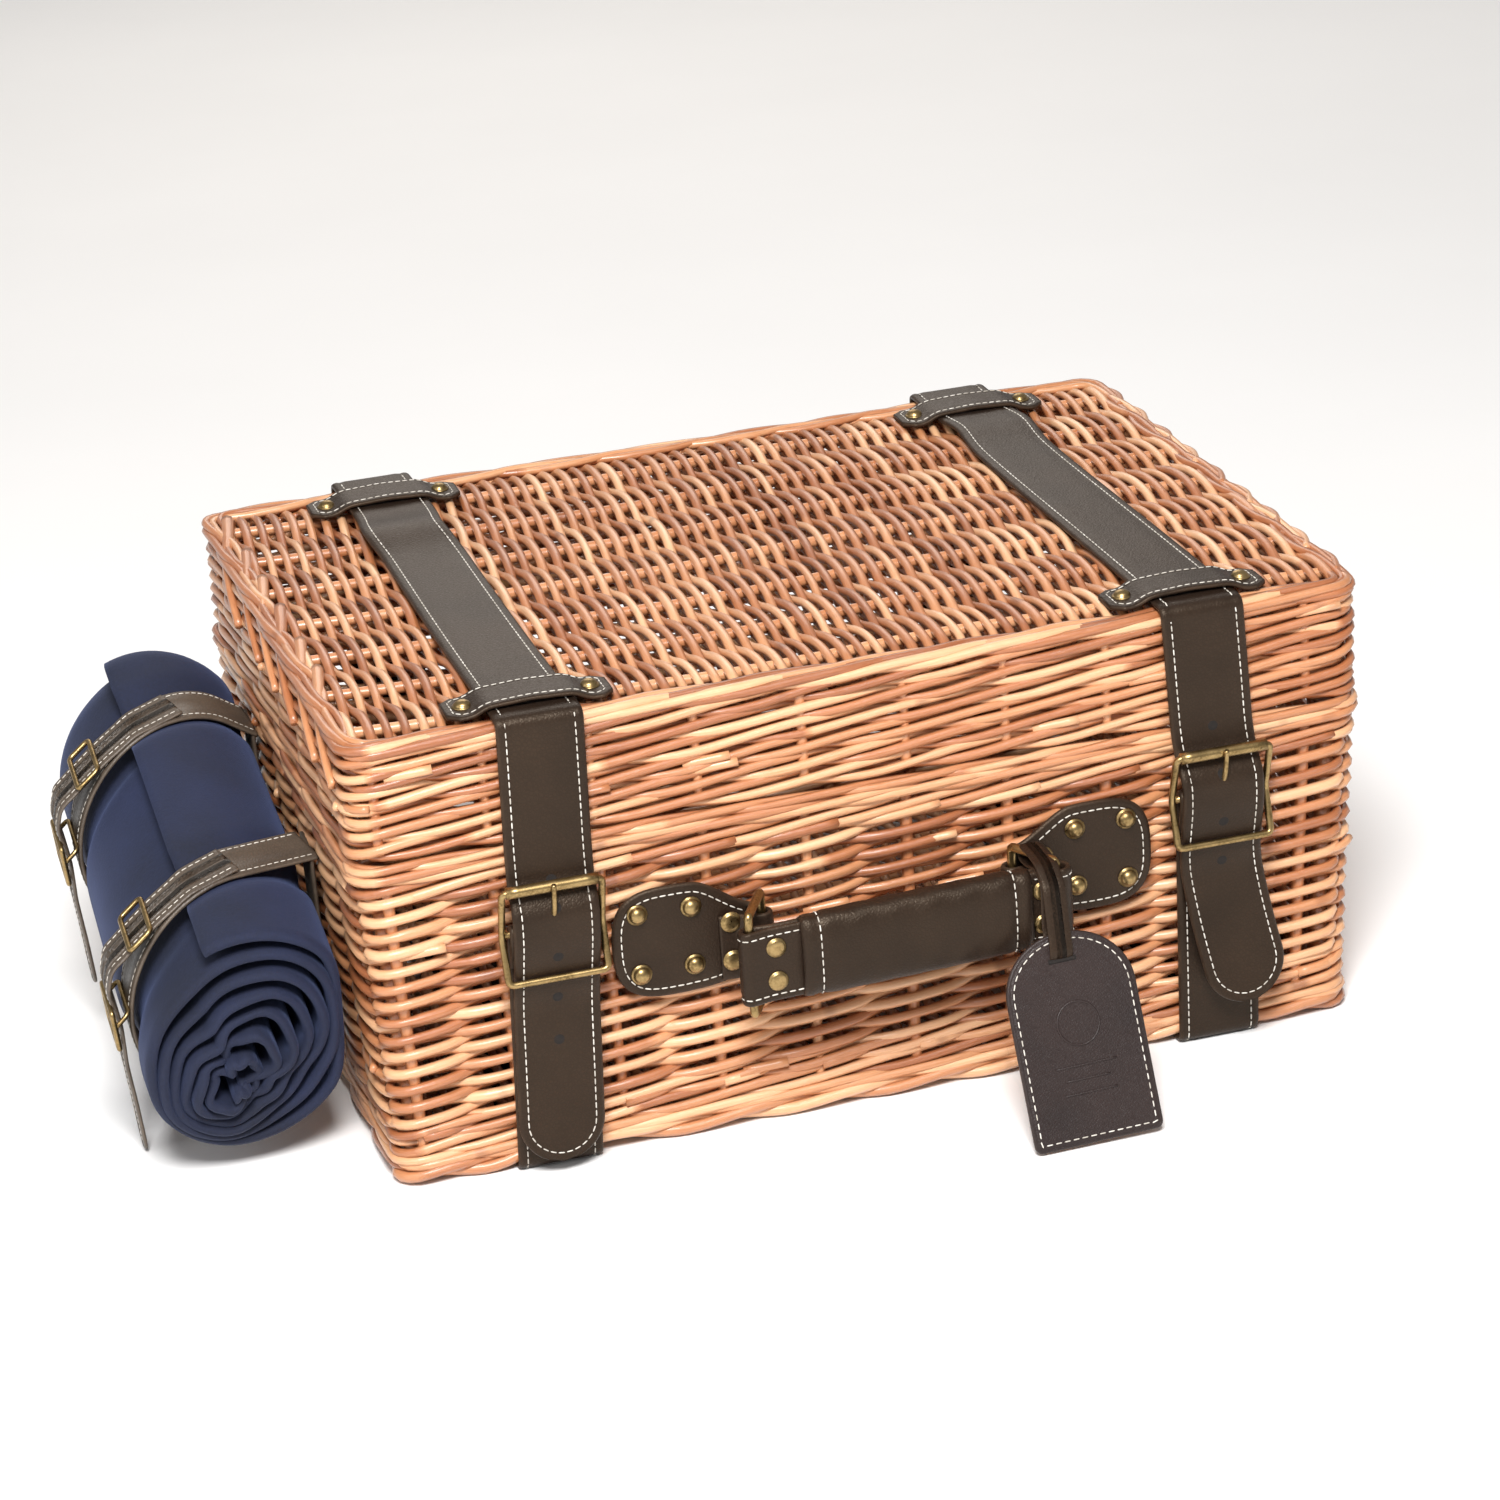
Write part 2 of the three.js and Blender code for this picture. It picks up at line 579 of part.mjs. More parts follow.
function rivet(name, x, y, z) {
  const rise = RIVET * 0.7;
  const profile = [new THREE.Vector2(0, 0), new THREE.Vector2(RIVET, 0)];
  for (let k = 0; k <= 3; k += 1) {
    const angle = (Math.PI / 2) * (k / 3);
    const point = new THREE.Vector2(RIVET * Math.cos(angle), 0.5 + rise * Math.sin(angle));
    if (k === 3) point.x = 0;
    profile.push(point);
  }
  add(name, new THREE.LatheGeometry(profile, 14).rotateX(Math.PI / 2).translate(x, y, z), 'brass');
}

function keepers(side, x) {
  const places = [['front', KEEPER_FRONT_Y], ['back', KEEPER_BACK_Y]];
  for (const [end, y] of places) {
    keeper(`keeper_${end}_${side}`, x, y);
    const z = HEIGHT + GAP + KEEPER_THICKNESS + 0.2;
    rivet(`rivet_${end}_${side}_a`, x - RIVET_X, y, z);
    rivet(`rivet_${end}_${side}_b`, x + RIVET_X, y, z);
  }
}

// ---- handle

const ANCHOR_TOP = HANDLE_Z + ANCHOR_WIDE / 2 + ANCHOR_LIFT;
const ANCHOR_BACK = -halfDepth(ANCHOR_TOP) - GAP; // face of the plate that lies on the wall
const FOLD = RING_WIRE + GAP + LEATHER;
const RING_Y = ANCHOR_BACK - FOLD;
const SPLAY = THREE.MathUtils.degToRad(RING_SPLAY);
const REACH_X = RING_REACH * Math.sin(SPLAY);
const REACH_Y = RING_REACH * Math.cos(SPLAY);
const HANDLE_Y = RING_Y - REACH_Y;
const HANDLE_LEFT = ANCHOR_FOLD_LEFT - REACH_X;
const HANDLE_RIGHT = ANCHOR_FOLD_RIGHT + REACH_X;

// A sleeve round an upright bar.
function uprightSleeve(x, y, inner, outer, height) {
  const shape = new THREE.Shape().absarc(x, y, outer, 0, 2 * Math.PI, false);
  shape.holes.push(new THREE.Path().absarc(x, y, inner, 0, 2 * Math.PI, true));
  return extrude(shape, height).translate(0, 0, HANDLE_Z - height / 2);
}

// A drop-shaped plate on the wall, wide end away from the handle, folded round the ring.
function anchor(name, fold, away) {
  const wide = ANCHOR_WIDE / 2;
  const narrow = ANCHOR_NARROW / 2;
  const centre = fold + away * (ANCHOR_LENGTH - wide);
  const plate = new THREE.Shape();
  plate.moveTo(fold, HANDLE_Z - narrow);
  plate.lineTo(fold, HANDLE_Z + narrow);
  for (let k = 0; k <= 14; k += 1) {
    const angle = THREE.MathUtils.degToRad(100 - (200 * k) / 14);
    plate.lineTo(centre + away * wide * Math.cos(angle), HANDLE_Z + ANCHOR_LIFT + wide * Math.sin(angle));
  }
  plate.closePath();
  const flatPlate = alongY(plate, ANCHOR_BACK - LEATHER / 2, LEATHER);
  const sleeve = uprightSleeve(fold, RING_Y, RING_WIRE + GAP, FOLD, ANCHOR_NARROW);
  const bore = uprightSleeve(fold, RING_Y, 0.01, RING_WIRE + GAP, ANCHOR_NARROW + 4);
  add(name, join(cut(flatPlate, bore), sleeve), 'leather');
}

function ring(name, fold, away) {
  const top = HANDLE_Z + RING_HEIGHT / 2;
  const low = HANDLE_Z - RING_HEIGHT / 2;
  const far = [fold + away * REACH_X, HANDLE_Y];
  const loop = rounded([
    new THREE.Vector3(fold, RING_Y, low), new THREE.Vector3(fold, RING_Y, top),
    new THREE.Vector3(far[0], far[1], top), new THREE.Vector3(far[0], far[1], low),
  ], 4, true, 5);
  add(name, wireLoop(loop, RING_WIRE, 10), 'brass');
}

function handleStrap() {
  const t = HANDLE_THICKNESS / 2;
  const inner = RING_WIRE + GAP;
  const strap = box(HANDLE_LEFT, HANDLE_RIGHT, HANDLE_Y - t, HANDLE_Y + t,
    HANDLE_Z - HANDLE_HEIGHT / 2, HANDLE_Z + HANDLE_HEIGHT / 2);
  const bores = [[HANDLE_LEFT, inner], [HANDLE_RIGHT, inner + HANDLE_PLAY]].map(([x, radius]) =>
    new THREE.CylinderGeometry(radius, radius, HANDLE_HEIGHT + 8, 20)
      .rotateX(Math.PI / 2).translate(x, HANDLE_Y, HANDLE_Z));
  const folds = [[HANDLE_LEFT, inner], [HANDLE_RIGHT, inner + HANDLE_PLAY]].map(([x, radius]) =>
    new THREE.CylinderGeometry(radius + LEATHER, radius + LEATHER, HANDLE_HEIGHT, 20)
      .rotateX(Math.PI / 2).translate(x, HANDLE_Y, HANDLE_Z));
  add('handle_strap', cut(join(strap, ...folds), ...bores), 'leather');
}

function handleGrip() {
  const hy = GRIP_THICKNESS / 2;
  const hz = GRIP_HEIGHT / 2;
  const section = new THREE.Shape();
  for (let k = 0; k < 24; k += 1) {
    const angle = (2 * Math.PI * k) / 24;
    const bulge = (v, power) => Math.sign(v) * Math.abs(v) ** power;
    const place = [HANDLE_Y + hy * bulge(Math.cos(angle), 0.8), HANDLE_Z + hz * bulge(Math.sin(angle), 0.6)];
    if (k === 0) section.moveTo(...place);
    else section.lineTo(...place);
  }
  const x0 = GRIP_X - GRIP_LENGTH / 2;
  const core = box(x0 - 1, x0 + GRIP_LENGTH + 1,
    HANDLE_Y - HANDLE_THICKNESS / 2 - GAP, HANDLE_Y + HANDLE_THICKNESS / 2 + GAP,
    HANDLE_Z - HANDLE_HEIGHT / 2 - GAP, HANDLE_Z + HANDLE_HEIGHT / 2 + GAP);
  add('handle_grip', cut(alongX(section, GRIP_X, GRIP_LENGTH), core), 'leather');
}

// ---- luggage tag

const RING_TOP = HANDLE_Z + RING_HEIGHT / 2;
const TAG_X = ANCHOR_FOLD_RIGHT + 0.45 * REACH_X;
const TAG_TOP_Y = HANDLE_Y - RING_WIRE - HANDLE_PLAY - LEATHER - TAG_GAP;
const TAG_TOP_Z = RING_TOP - TAG_DROP;
const TAG_LEAN = Math.acos(Math.min((TAG_TOP_Z - 1.4) / TAG_LENGTH, 1)); // its foot stands on the table

// Turns what hangs straight down from the origin so that it leans outwards in front of the handle.
function leaning(geometry) {
  return geometry.rotateX(-TAG_LEAN).translate(TAG_X, TAG_TOP_Y, TAG_TOP_Z);
}

function luggageTag() {
  const half = TAG_WIDTH / 2;
  const arch = half * 0.9;
  const shape = new THREE.Shape();
  shape.moveTo(-half + 4, -TAG_LENGTH);
  shape.lineTo(half - 4, -TAG_LENGTH);
  shape.lineTo(half, -TAG_LENGTH + 4);
  for (let k = 0; k <= 12; k += 1) {
    const angle = (Math.PI * k) / 12;
    shape.lineTo(half * Math.cos(angle), arch * (Math.sin(angle) - 1));
  }
  shape.lineTo(-half, -TAG_LENGTH + 4);
  shape.closePath();
  shape.holes.push(new THREE.Path().absarc(0, -TAG_HOLE, 2 * TAG_CORD, 0, 2 * Math.PI, true));
  add('luggage_tag', leaning(alongY(shape, 0, TAG_THICKNESS)), 'leather');
}

// One loop: through the tag's hole, up in front of the handle, over its edge and round the ring's top.
function tagLoop() {
  const crest = RING_TOP + RING_WIRE + TAG_CORD + 0.6;
  const under = RING_TOP - RING_WIRE - TAG_CORD - 0.1;
  const over = HANDLE_Z + HANDLE_HEIGHT / 2 + TAG_CORD + 0.8;
  const front = TAG_TOP_Y + TAG_GAP - TAG_CORD - GAP;
  const apart = 2 * TAG_CORD + 0.5;
  const end = RING_Y - 1.9;
  const hole = [TAG_TOP_Y - TAG_HOLE * Math.sin(TAG_LEAN), TAG_TOP_Z - TAG_HOLE * Math.cos(TAG_LEAN)];
  const clear = TAG_CORD + TAG_THICKNESS / 2 + 1.1;
  const side = clear * Math.cos(TAG_LEAN);
  const drop = clear * Math.sin(TAG_LEAN);
  const path = [
    [end, under], [end, crest], [HANDLE_Y + 8, crest], [HANDLE_Y - 3, over + apart],
    [front - apart, over + apart - 4], [hole[0] - side, hole[1] + drop], [hole[0] + side, hole[1] - drop],
    [front, TAG_TOP_Z], [front, over], [HANDLE_Y + 4, over], [HANDLE_Y + 9, under],
  ].map(([y, z]) => new THREE.Vector3(TAG_X, y, z));
  add('tag_loop', wireLoop(rounded(path, 2.6, true, 3), TAG_CORD), 'leather');
}

// ---- blanket roll and its straps

const TILT = THREE.MathUtils.degToRad(ROLL_TILT);

// Puts a thing drawn about the roll's axis (Z) at a distance along the roll.
function onRoll(geometry, along) {
  return geometry.rotateX(-Math.PI / 2).rotateX(TILT).translate(
    ROLL_X, ROLL_NEAR_Y + along * Math.cos(TILT), ROLL_NEAR_Z + along * Math.sin(TILT));
}

function blanketRoll() {
  const r = ROLL_RADIUS;
  const profile = [
    [0, 0], [r - 8, 0], [r - 2, 3], [r, 10], [r, ROLL_LENGTH - 10], [r - 2, ROLL_LENGTH - 3],
    [r - 8, ROLL_LENGTH], [0, ROLL_LENGTH],
  ].map(([a, b]) => new THREE.Vector2(a, b));
  add('blanket_roll', onRoll(new THREE.LatheGeometry(profile, 36).rotateX(Math.PI / 2), 0), 'wool');
}

// Direction angles where a tangent from a point touches a circle about the origin.
function tangentAngle(point, radius, sign) {
  return Math.atan2(point[1], point[0]) + sign * Math.acos(radius / Math.hypot(...point));
}

// A closed strap: up over the roll, round its far side, back under it and up the basket's end wall.
function carryPath(along, topZ) {
  const centreZ = ROLL_NEAR_Z + along * Math.sin(TILT);
  const radius = ROLL_RADIUS + GAP + CARRY_THICKNESS / 2;
  const wallX = (z) => -halfWidth(z) - 0.8 - CARRY_THICKNESS / 2 - ROLL_X;
  const place = (z) => [wallX(z), (z - centreZ) / Math.cos(TILT)];
  const top = place(topZ);
  const foot = place(CARRY_FOOT);
  const from = tangentAngle(top, radius, 1);
  const to = tangentAngle(foot, radius, -1) + 2 * Math.PI;
  const path = [new THREE.Vector2(...top)];
  for (let k = 0; k <= 22; k += 1) {
    const angle = from + ((to - from) * k) / 22;
    path.push(new THREE.Vector2(radius * Math.cos(angle), radius * Math.sin(angle)));
  }
  path.push(new THREE.Vector2(...foot));
  return path;
}

// The same outline, drawn in or out by half a thickness.
function offset(points, distance) {
  return points.map((p, i) => {
    const before = points[(i + points.length - 1) % points.length];
    const after = points[(i + 1) % points.length];
    const a = p.clone().sub(before).normalize();
    const b = after.clone().sub(p).normalize();
    const along = a.clone().add(b).normalize();
    const spread = distance / Math.max(along.dot(b), 0.5);
    return p.clone().add(new THREE.Vector2(along.y, -along.x).multiplyScalar(spread));
  });
}

// Drawn with x across and y up; the roll's axis is Z, and its up is -Y once it is laid down.
function flipped(geometry) {
  return geometry.rotateX(Math.PI);
}

function blanketStrap(name, along, topZ) {
  const path = carryPath(along, topZ);
  const shape = new THREE.Shape(offset(path, CARRY_THICKNESS / 2));
  shape.holes.push(new THREE.Path(offset(path, -CARRY_THICKNESS / 2)));
  const side = -ROLL_RADIUS - GAP - CARRY_THICKNESS;
  const tail = new THREE.Shape(strip([
    [side - 1, 12], [side - 1, -CARRY_TAIL],
  ], CARRY_THICKNESS).getPoints());
  const band = extrude(shape, CARRY_WIDTH);
  const end = extrude(tail, CARRY_WIDTH - 1).translate(0, 0, 0.5);
  const drawn = join(band, end).translate(0, 0, -CARRY_WIDTH / 2);
  add(name, onRoll(flipped(drawn), along), 'taupe');
}

function blanketBuckle(name, along) {
  const half = CARRY_WIDTH / 2 + 1 + CARRY_WIRE;
  const x = -ROLL_RADIUS - GAP - CARRY_THICKNESS - 3 - CARRY_THICKNESS - CARRY_WIRE;
  const loop = rounded([
    new THREE.Vector3(x, 16, -half), new THREE.Vector3(x, 16, half),
    new THREE.Vector3(x, -12, half), new THREE.Vector3(x, -12, -half),
  ], 3, true, 3);
  add(name, onRoll(flipped(wireLoop(loop, CARRY_WIRE)), along), 'brass');
}

// ---- the whole basket

const leftBuckle = buckleAt(STRAP_LEFT_X, 0, TAIL_TIP_LEFT);
const rightBuckle = buckleAt(STRAP_RIGHT_X, BUCKLE_RISE, TAIL_TIP_RIGHT);

body([strapChannel(STRAP_LEFT_X), strapChannel(STRAP_RIGHT_X)]);
lid();
for (const [side, buckle] of [['left', leftBuckle], ['right', rightBuckle]]) {
  lowerStrap(`strap_lower_${side}`, buckle);
  upperStrap(`strap_upper_${side}`, buckle.x);
  strapBend(`strap_bend_${side}`, buckle.x);
  strapTail(`strap_tail_${side}`, buckle);
  buckleFrame(`buckle_frame_${side}`, buckle);
  buckleTongue(`buckle_tongue_${side}`, buckle);
  keepers(side, buckle.x);
}
anchor('anchor_left', ANCHOR_FOLD_LEFT, -1);
anchor('anchor_right', ANCHOR_FOLD_RIGHT, 1);
ring('ring_left', ANCHOR_FOLD_LEFT, -1);
ring('ring_right', ANCHOR_FOLD_RIGHT, 1);
handleStrap();
handleGrip();
luggageTag();
tagLoop();
blanketRoll();
blanketStrap('blanket_strap_front', CARRY_FRONT, CARRY_TOP - CARRY_TOP_STEP);
blanketStrap('blanket_strap_back', CARRY_BACK, CARRY_TOP);
blanketBuckle('blanket_buckle_front', CARRY_FRONT);
blanketBuckle('blanket_buckle_back', CARRY_BACK);

export default group;
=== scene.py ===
import math

import bpy
import numpy as np
from mathutils import Matrix, Vector


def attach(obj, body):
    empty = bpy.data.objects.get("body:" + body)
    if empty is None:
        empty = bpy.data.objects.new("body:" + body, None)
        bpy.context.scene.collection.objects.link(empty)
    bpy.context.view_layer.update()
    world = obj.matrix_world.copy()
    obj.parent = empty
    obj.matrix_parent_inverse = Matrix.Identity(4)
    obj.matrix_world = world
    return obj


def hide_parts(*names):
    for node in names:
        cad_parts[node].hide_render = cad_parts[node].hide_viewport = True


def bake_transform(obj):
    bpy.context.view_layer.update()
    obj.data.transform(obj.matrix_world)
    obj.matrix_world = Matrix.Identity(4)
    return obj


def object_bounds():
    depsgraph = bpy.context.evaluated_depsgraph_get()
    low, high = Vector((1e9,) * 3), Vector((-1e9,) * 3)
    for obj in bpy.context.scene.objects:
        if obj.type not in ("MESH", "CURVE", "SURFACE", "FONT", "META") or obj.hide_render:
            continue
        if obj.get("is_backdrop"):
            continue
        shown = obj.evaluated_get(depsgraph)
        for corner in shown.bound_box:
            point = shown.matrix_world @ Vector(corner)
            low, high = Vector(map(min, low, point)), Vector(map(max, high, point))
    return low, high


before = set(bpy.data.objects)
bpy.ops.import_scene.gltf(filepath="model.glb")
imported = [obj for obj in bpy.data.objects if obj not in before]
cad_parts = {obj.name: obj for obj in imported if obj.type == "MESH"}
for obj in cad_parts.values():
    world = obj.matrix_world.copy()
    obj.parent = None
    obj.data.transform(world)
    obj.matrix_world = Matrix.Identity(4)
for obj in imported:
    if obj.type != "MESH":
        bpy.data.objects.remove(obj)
CAD_LOW, CAD_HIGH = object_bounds()
MM = 0.001
draw = np.random.default_rng(11)
print("box in mm", [round(v * 1000, 1) for v in (*CAD_LOW, *CAD_HIGH)])

# %% [markdown]
# ## The sizes
# The outer faces of the hamper's walls and of its lid, and where the leather lies, are written once
# here. The walls lean out a little from the foot to the top, so their half widths depend on height.
# %% Sizes of the hamper
BODY_TOP = 154.0
LID_BACK = 167.0
LID_FRONT = -170.0
HALF_X, HALF_Y = 230.0, 170.0
LEAN_X, LEAN_Y = 7.5, 5.0
STRAP_X = {"left": -144.0, "right": 151.0}
STRAP_WIDE = 38.0
LEATHER = 3.0
BAR_Z = {"left": 115.0, "right": 122.0}
BUCKLE_UP, BUCKLE_DOWN = 22.0, 21.0
TIP_Z = {"left": 6.0, "right": 23.0}


def half_width(z):
    """Half the width of the body at height z: full at the top, less by the lean at the foot."""
    return HALF_X - LEAN_X * (1 - np.minimum(z / BODY_TOP, 1))


def half_depth(z):
    """Half the depth of the body at height z."""
    return HALF_Y - LEAN_Y * (1 - np.minimum(z / BODY_TOP, 1))


# %% [markdown]
# ## Meshes from grids
# Every piece is a grid of points, or several, joined into one mesh. Each point also carries its
# "lay": how far along its rod or strap it is, how far across, and a tone from 0 to 1. The finishes
# read that lay, so bark streaks run along a rod and edges of leather wear where the edges are.
# %% Grid faces and the mesh maker
def grid_faces(rows, columns, wrap_rows=False, wrap_columns=False, flip=False):
    """Four-cornered faces of a grid whose points are numbered row by row.

    Face (i, j) has corners (i, j), (i, j+1), (i+1, j+1), (i+1, j); a wrapped side joins its ends.
    """
    i = np.arange(rows if wrap_rows else rows - 1)
    j = np.arange(columns if wrap_columns else columns - 1)
    i, j = (a.ravel() for a in np.meshgrid(i, j, indexing="ij"))
    i2, j2 = (i + 1) % rows, (j + 1) % columns
    quads = [i * columns + j, i * columns + j2, i2 * columns + j2, i2 * columns + j]
    return np.stack(quads[::-1] if flip else quads, axis=1)


def skin(rows, sides):
    """Faces of a closed bar: its long sides and a cap at each end."""
    ring = np.arange(sides)
    return [grid_faces(rows, sides, wrap_columns=True), ring[::-1][None], ring[None] + (rows - 1) * sides]


class Shape:
    """Gathers grids of points, with their lay and their finish, into one mesh."""

    def __init__(self):
        self.points, self.lay, self.faces, self.count = [], [], [], 0

    def add(self, points, faces, along=0.0, across=0.0, tone=0.5, finish=0, smooth=True):
        points = np.asarray(points, float).reshape(-1, 3)
        lay = np.empty((len(points), 3))
        for k, value in enumerate((along, across, tone)):
            lay[:, k] = np.asarray(value, float).ravel() if np.ndim(value) else value
        self.points.append(points)
        self.lay.append(lay)
        for group in faces if isinstance(faces, list) else [faces]:
            self.faces.append((group + self.count, finish, smooth))
        self.count += len(points)

    def mesh(self, name, finishes):
        """One mesh object named name, with its loops filled in as whole arrays."""
        mesh = bpy.data.meshes.new(name)
        points = np.concatenate(self.points) * MM
        corners = np.concatenate([group.ravel() for group, _, _ in self.faces])
        totals = np.concatenate([np.full(len(g), g.shape[1]) for g, _, _ in self.faces])
        finish = np.concatenate([np.full(len(g), f) for g, f, _ in self.faces])
        smooth = np.concatenate([np.full(len(g), s) for g, _, s in self.faces])
        mesh.vertices.add(len(points))
        mesh.vertices.foreach_set("co", points.astype(np.float32).ravel())
        mesh.loops.add(len(corners))
        mesh.loops.foreach_set("vertex_index", corners.astype(np.int32))
        mesh.polygons.add(len(totals))
        mesh.polygons.foreach_set("loop_start", (np.cumsum(totals) - totals).astype(np.int32))
        mesh.polygons.foreach_set("material_index", finish.astype(np.int32))
        mesh.polygons.foreach_set("use_smooth", smooth)
        mesh.update(calc_edges=True)
        lay = mesh.attributes.new("lay", "FLOAT_VECTOR", "POINT")
        lay.data.foreach_set("vector", np.concatenate(self.lay).astype(np.float32).ravel())
        for material in finishes:
            mesh.materials.append(material)
        thing = bpy.data.objects.new(name, mesh)
        bpy.context.scene.collection.objects.link(thing)
        print(f"{name}: {len(points)} points, {len(totals)} faces")
        return thing


def finish_piece(shape, name, finishes, body, slot, *nodes):
    """Makes the mesh, rides it on its body if it has one, and hides the CAD nodes it replaces. The slot is
    not used.
    """
    thing = shape.mesh(name, finishes)
    if body:
        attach(thing, body)
    if nodes:
        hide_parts(*nodes)
    return thing


# %% [markdown]
# ## Rods and straps along paths
# A rod is a circle carried along a path, and a strap is a flat section carried along one. Both need a
# direction that says which way is up at every point. Up is given for the whole path, then turned
# square to it, so that a long path can't twist.
# %% Frames, tubes and bands
def unit(vectors):
    """The same directions with length one."""
    return vectors / np.maximum(np.linalg.norm(vectors, axis=-1, keepdims=True), 1e-12)


def frames(path, up, closed=False):
    """Along, up and across at every point of a path: across is along times up."""
    if closed:
        along = unit(np.roll(path, -1, axis=0) - np.roll(path, 1, axis=0))
    else:
        along = unit(np.gradient(path, axis=0))
    up = np.broadcast_to(np.asarray(up, float), path.shape)
    up = unit(up - (up * along).sum(-1, keepdims=True) * along)
    return along, up, np.cross(along, up)


def lengths(path):
    """How far along a path each of its points is."""
    steps = np.linalg.norm(np.diff(path, axis=0), axis=1)
    return np.concatenate([[0.0], np.cumsum(steps)])


def sample(at, s, table):
    """Rows of a table read off at other distances, each column by straight lines between its rows."""
    return np.stack([np.interp(at, s, table[:, k]) for k in range(table.shape[1])], axis=-1)


def resample(path, step):
    """Points about a step apart along a path."""
    s = lengths(path)
    at = np.linspace(0, s[-1], max(int(round(s[-1] / step)), 2) + 1)
    return sample(at, s, path)


def smoothed(path, reach, step=1.5):
    """A path of straight runs with its corners eased: a moving mean of its points over reach."""
    fine = resample(np.asarray(path, float), step)
    wide = max(int(reach / step) | 1, 3)
    padded = np.concatenate([
        2 * fine[:1] - fine[1:wide // 2 + 1][::-1], fine, 2 * fine[-1:] - fine[-wide // 2:-1][::-1]])
    kernel = np.ones(wide) / wide
    eased = np.stack([np.convolve(padded[:, k], kernel, "valid") for k in range(fine.shape[1])], 1)
    eased = eased[:len(fine)]
    eased[0], eased[-1] = fine[0], fine[-1]
    return eased


def tube(shape, path, radius, up=(0, 0, 1), sides=8, closed=False, tone=0.5, finish=0, start=0.0):
    """A round rod: at each point of the path, centre + radius (cos a up + sin a across)."""
    path = np.asarray(path, float)
    _, out, across = frames(path, up, closed)
    angle = 2 * np.pi * np.arange(sides) / sides
    radius = np.broadcast_to(np.asarray(radius, float), (len(path),))
    ring = np.cos(angle)[None, :, None] * out[:, None] + np.sin(angle)[None, :, None] * across[:, None]
    points = path[:, None] + radius[:, None, None] * ring
    faces = grid_faces(len(path), sides, True, True) if closed else skin(len(path), sides)
    along = np.repeat(lengths(path) + start, sides)
    around = np.tile(angle / (2 * np.pi), len(path))
    tones = np.repeat(np.broadcast_to(tone, (len(path),)), sides)
    shape.add(points, faces, along, around, tones, finish)


def leather_section(wide, thick):
    """Outline of a strap's section as (up, across): flat faces, round edges, and a shallow groove
    on the upper face where the stitches pull it in, 4 mm from each edge."""
    w, h = wide / 2, thick / 2
    right = [(h, w * 0.4), (h + 0.05, w - 6.5), (h - 0.28, w - 4.0), (h, w - 2.4), (h - 0.25, w - 1.0),
             (h * 0.5, w - 0.15), (0, w), (-h * 0.5, w - 0.15), (-h + 0.2, w - 1.0), (-h, w - 3)]
    left = [(u, -a) for u, a in right[::-1]]
    return np.array(right + left)


class Band:
    """A strap of leather along a path: points at (s along, a across, u above its middle)."""

    def __init__(self, path, up, wide, thick=LEATHER):
        self.path = np.asarray(path, float)
        self.along, self.up, self.across = frames(self.path, up)
        self.s = lengths(self.path)
        self.wide, self.thick = wide, thick

    def at(self, s, a, u):
        """Place on the band: path(s) + a across(s) + u up(s)."""
        a, u = np.asarray(a, float)[..., None], np.asarray(u, float)[..., None]
        middle, across, up = (sample(s, self.s, table) for table in (self.path, self.across, self.up))
        return middle + a * across + u * up

    def normal(self, s):
        """The way up from the band at s."""
        return unit(sample(s, self.s, self.up))

    def solid(self, shape, taper=None, tone=0.5, finish=0):
        """The leather itself. taper gives the share of the full width at each point of the path."""
        outline = leather_section(self.wide, self.thick)
        share = np.ones(len(self.path)) if taper is None else np.asarray(taper)
        a = share[:, None] * outline[None, :, 1]
        points = (self.path[:, None] + a[..., None] * self.across[:, None]
                  + outline[None, :, 0, None] * self.up[:, None])
        sides = len(outline)
        along = np.repeat(self.s, sides)
        across = np.tile(outline[:, 1] / (self.wide / 2), len(self.path))
        shape.add(points, skin(len(self.path), sides), along, across, tone, finish)


# %% [markdown]
# ## Stitches
# The thread shows as short slanted bars with small gaps. One bar is a small five-sided bead, and all
# the bars of a seam are placed in one go along a line on the leather.
# %% Stitch maker
def stitches(shape, line, normal, pitch=3.7, long=2.75, wide=0.55, high=0.3, finish=1):
    """Beads along a line: centre + t along + n up + b across, for each corner of one bead."""
    line, normal = np.asarray(line, float), np.asarray(normal, float)
    s = lengths(line)
    count = max(int(s[-1] / pitch), 1)
    at = (np.arange(count) + 0.5) * s[-1] / count
    centre, up = sample(at, s, line), sample(at, s, normal)
    along = unit(sample(at + 1, s, line) - sample(at - 1, s, line))
    up = unit(up - (up * along).sum(-1, keepdims=True) * along)
    across = np.cross(along, up)
    stations = np.array([(-0.5, 0.5), (-0.32, 1.0), (0.32, 1.0), (0.5, 0.5)])
    section = np.array([(high, 0), (high * 0.55, wide / 2), (-0.15, wide / 2),
                        (-0.15, -wide / 2), (high * 0.55, -wide / 2)])
    t = np.repeat(stations[:, 0] * long, 5)
    n = (stations[:, 1, None] * section[None, :, 0]).ravel()
    b = (stations[:, 1, None] * section[None, :, 1]).ravel()
    points = (centre[:, None] + t[None, :, None] * along[:, None] + n[None, :, None] * up[:, None]
              + b[None, :, None] * across[:, None])
    offset = (np.arange(count) * 20)[:, None, None]
    sides = grid_faces(4, 5, wrap_columns=True)
    caps = np.array([[4, 3, 2, 1, 0], [15, 16, 17, 18, 19]])
    faces = [(sides[None] + offset).reshape(-1, 4), (caps[None] + offset).reshape(-1, 5)]
    tone = np.repeat(draw.random(count), 20)
    shape.add(points, faces, np.repeat(at, 20), 0.0, tone, finish)


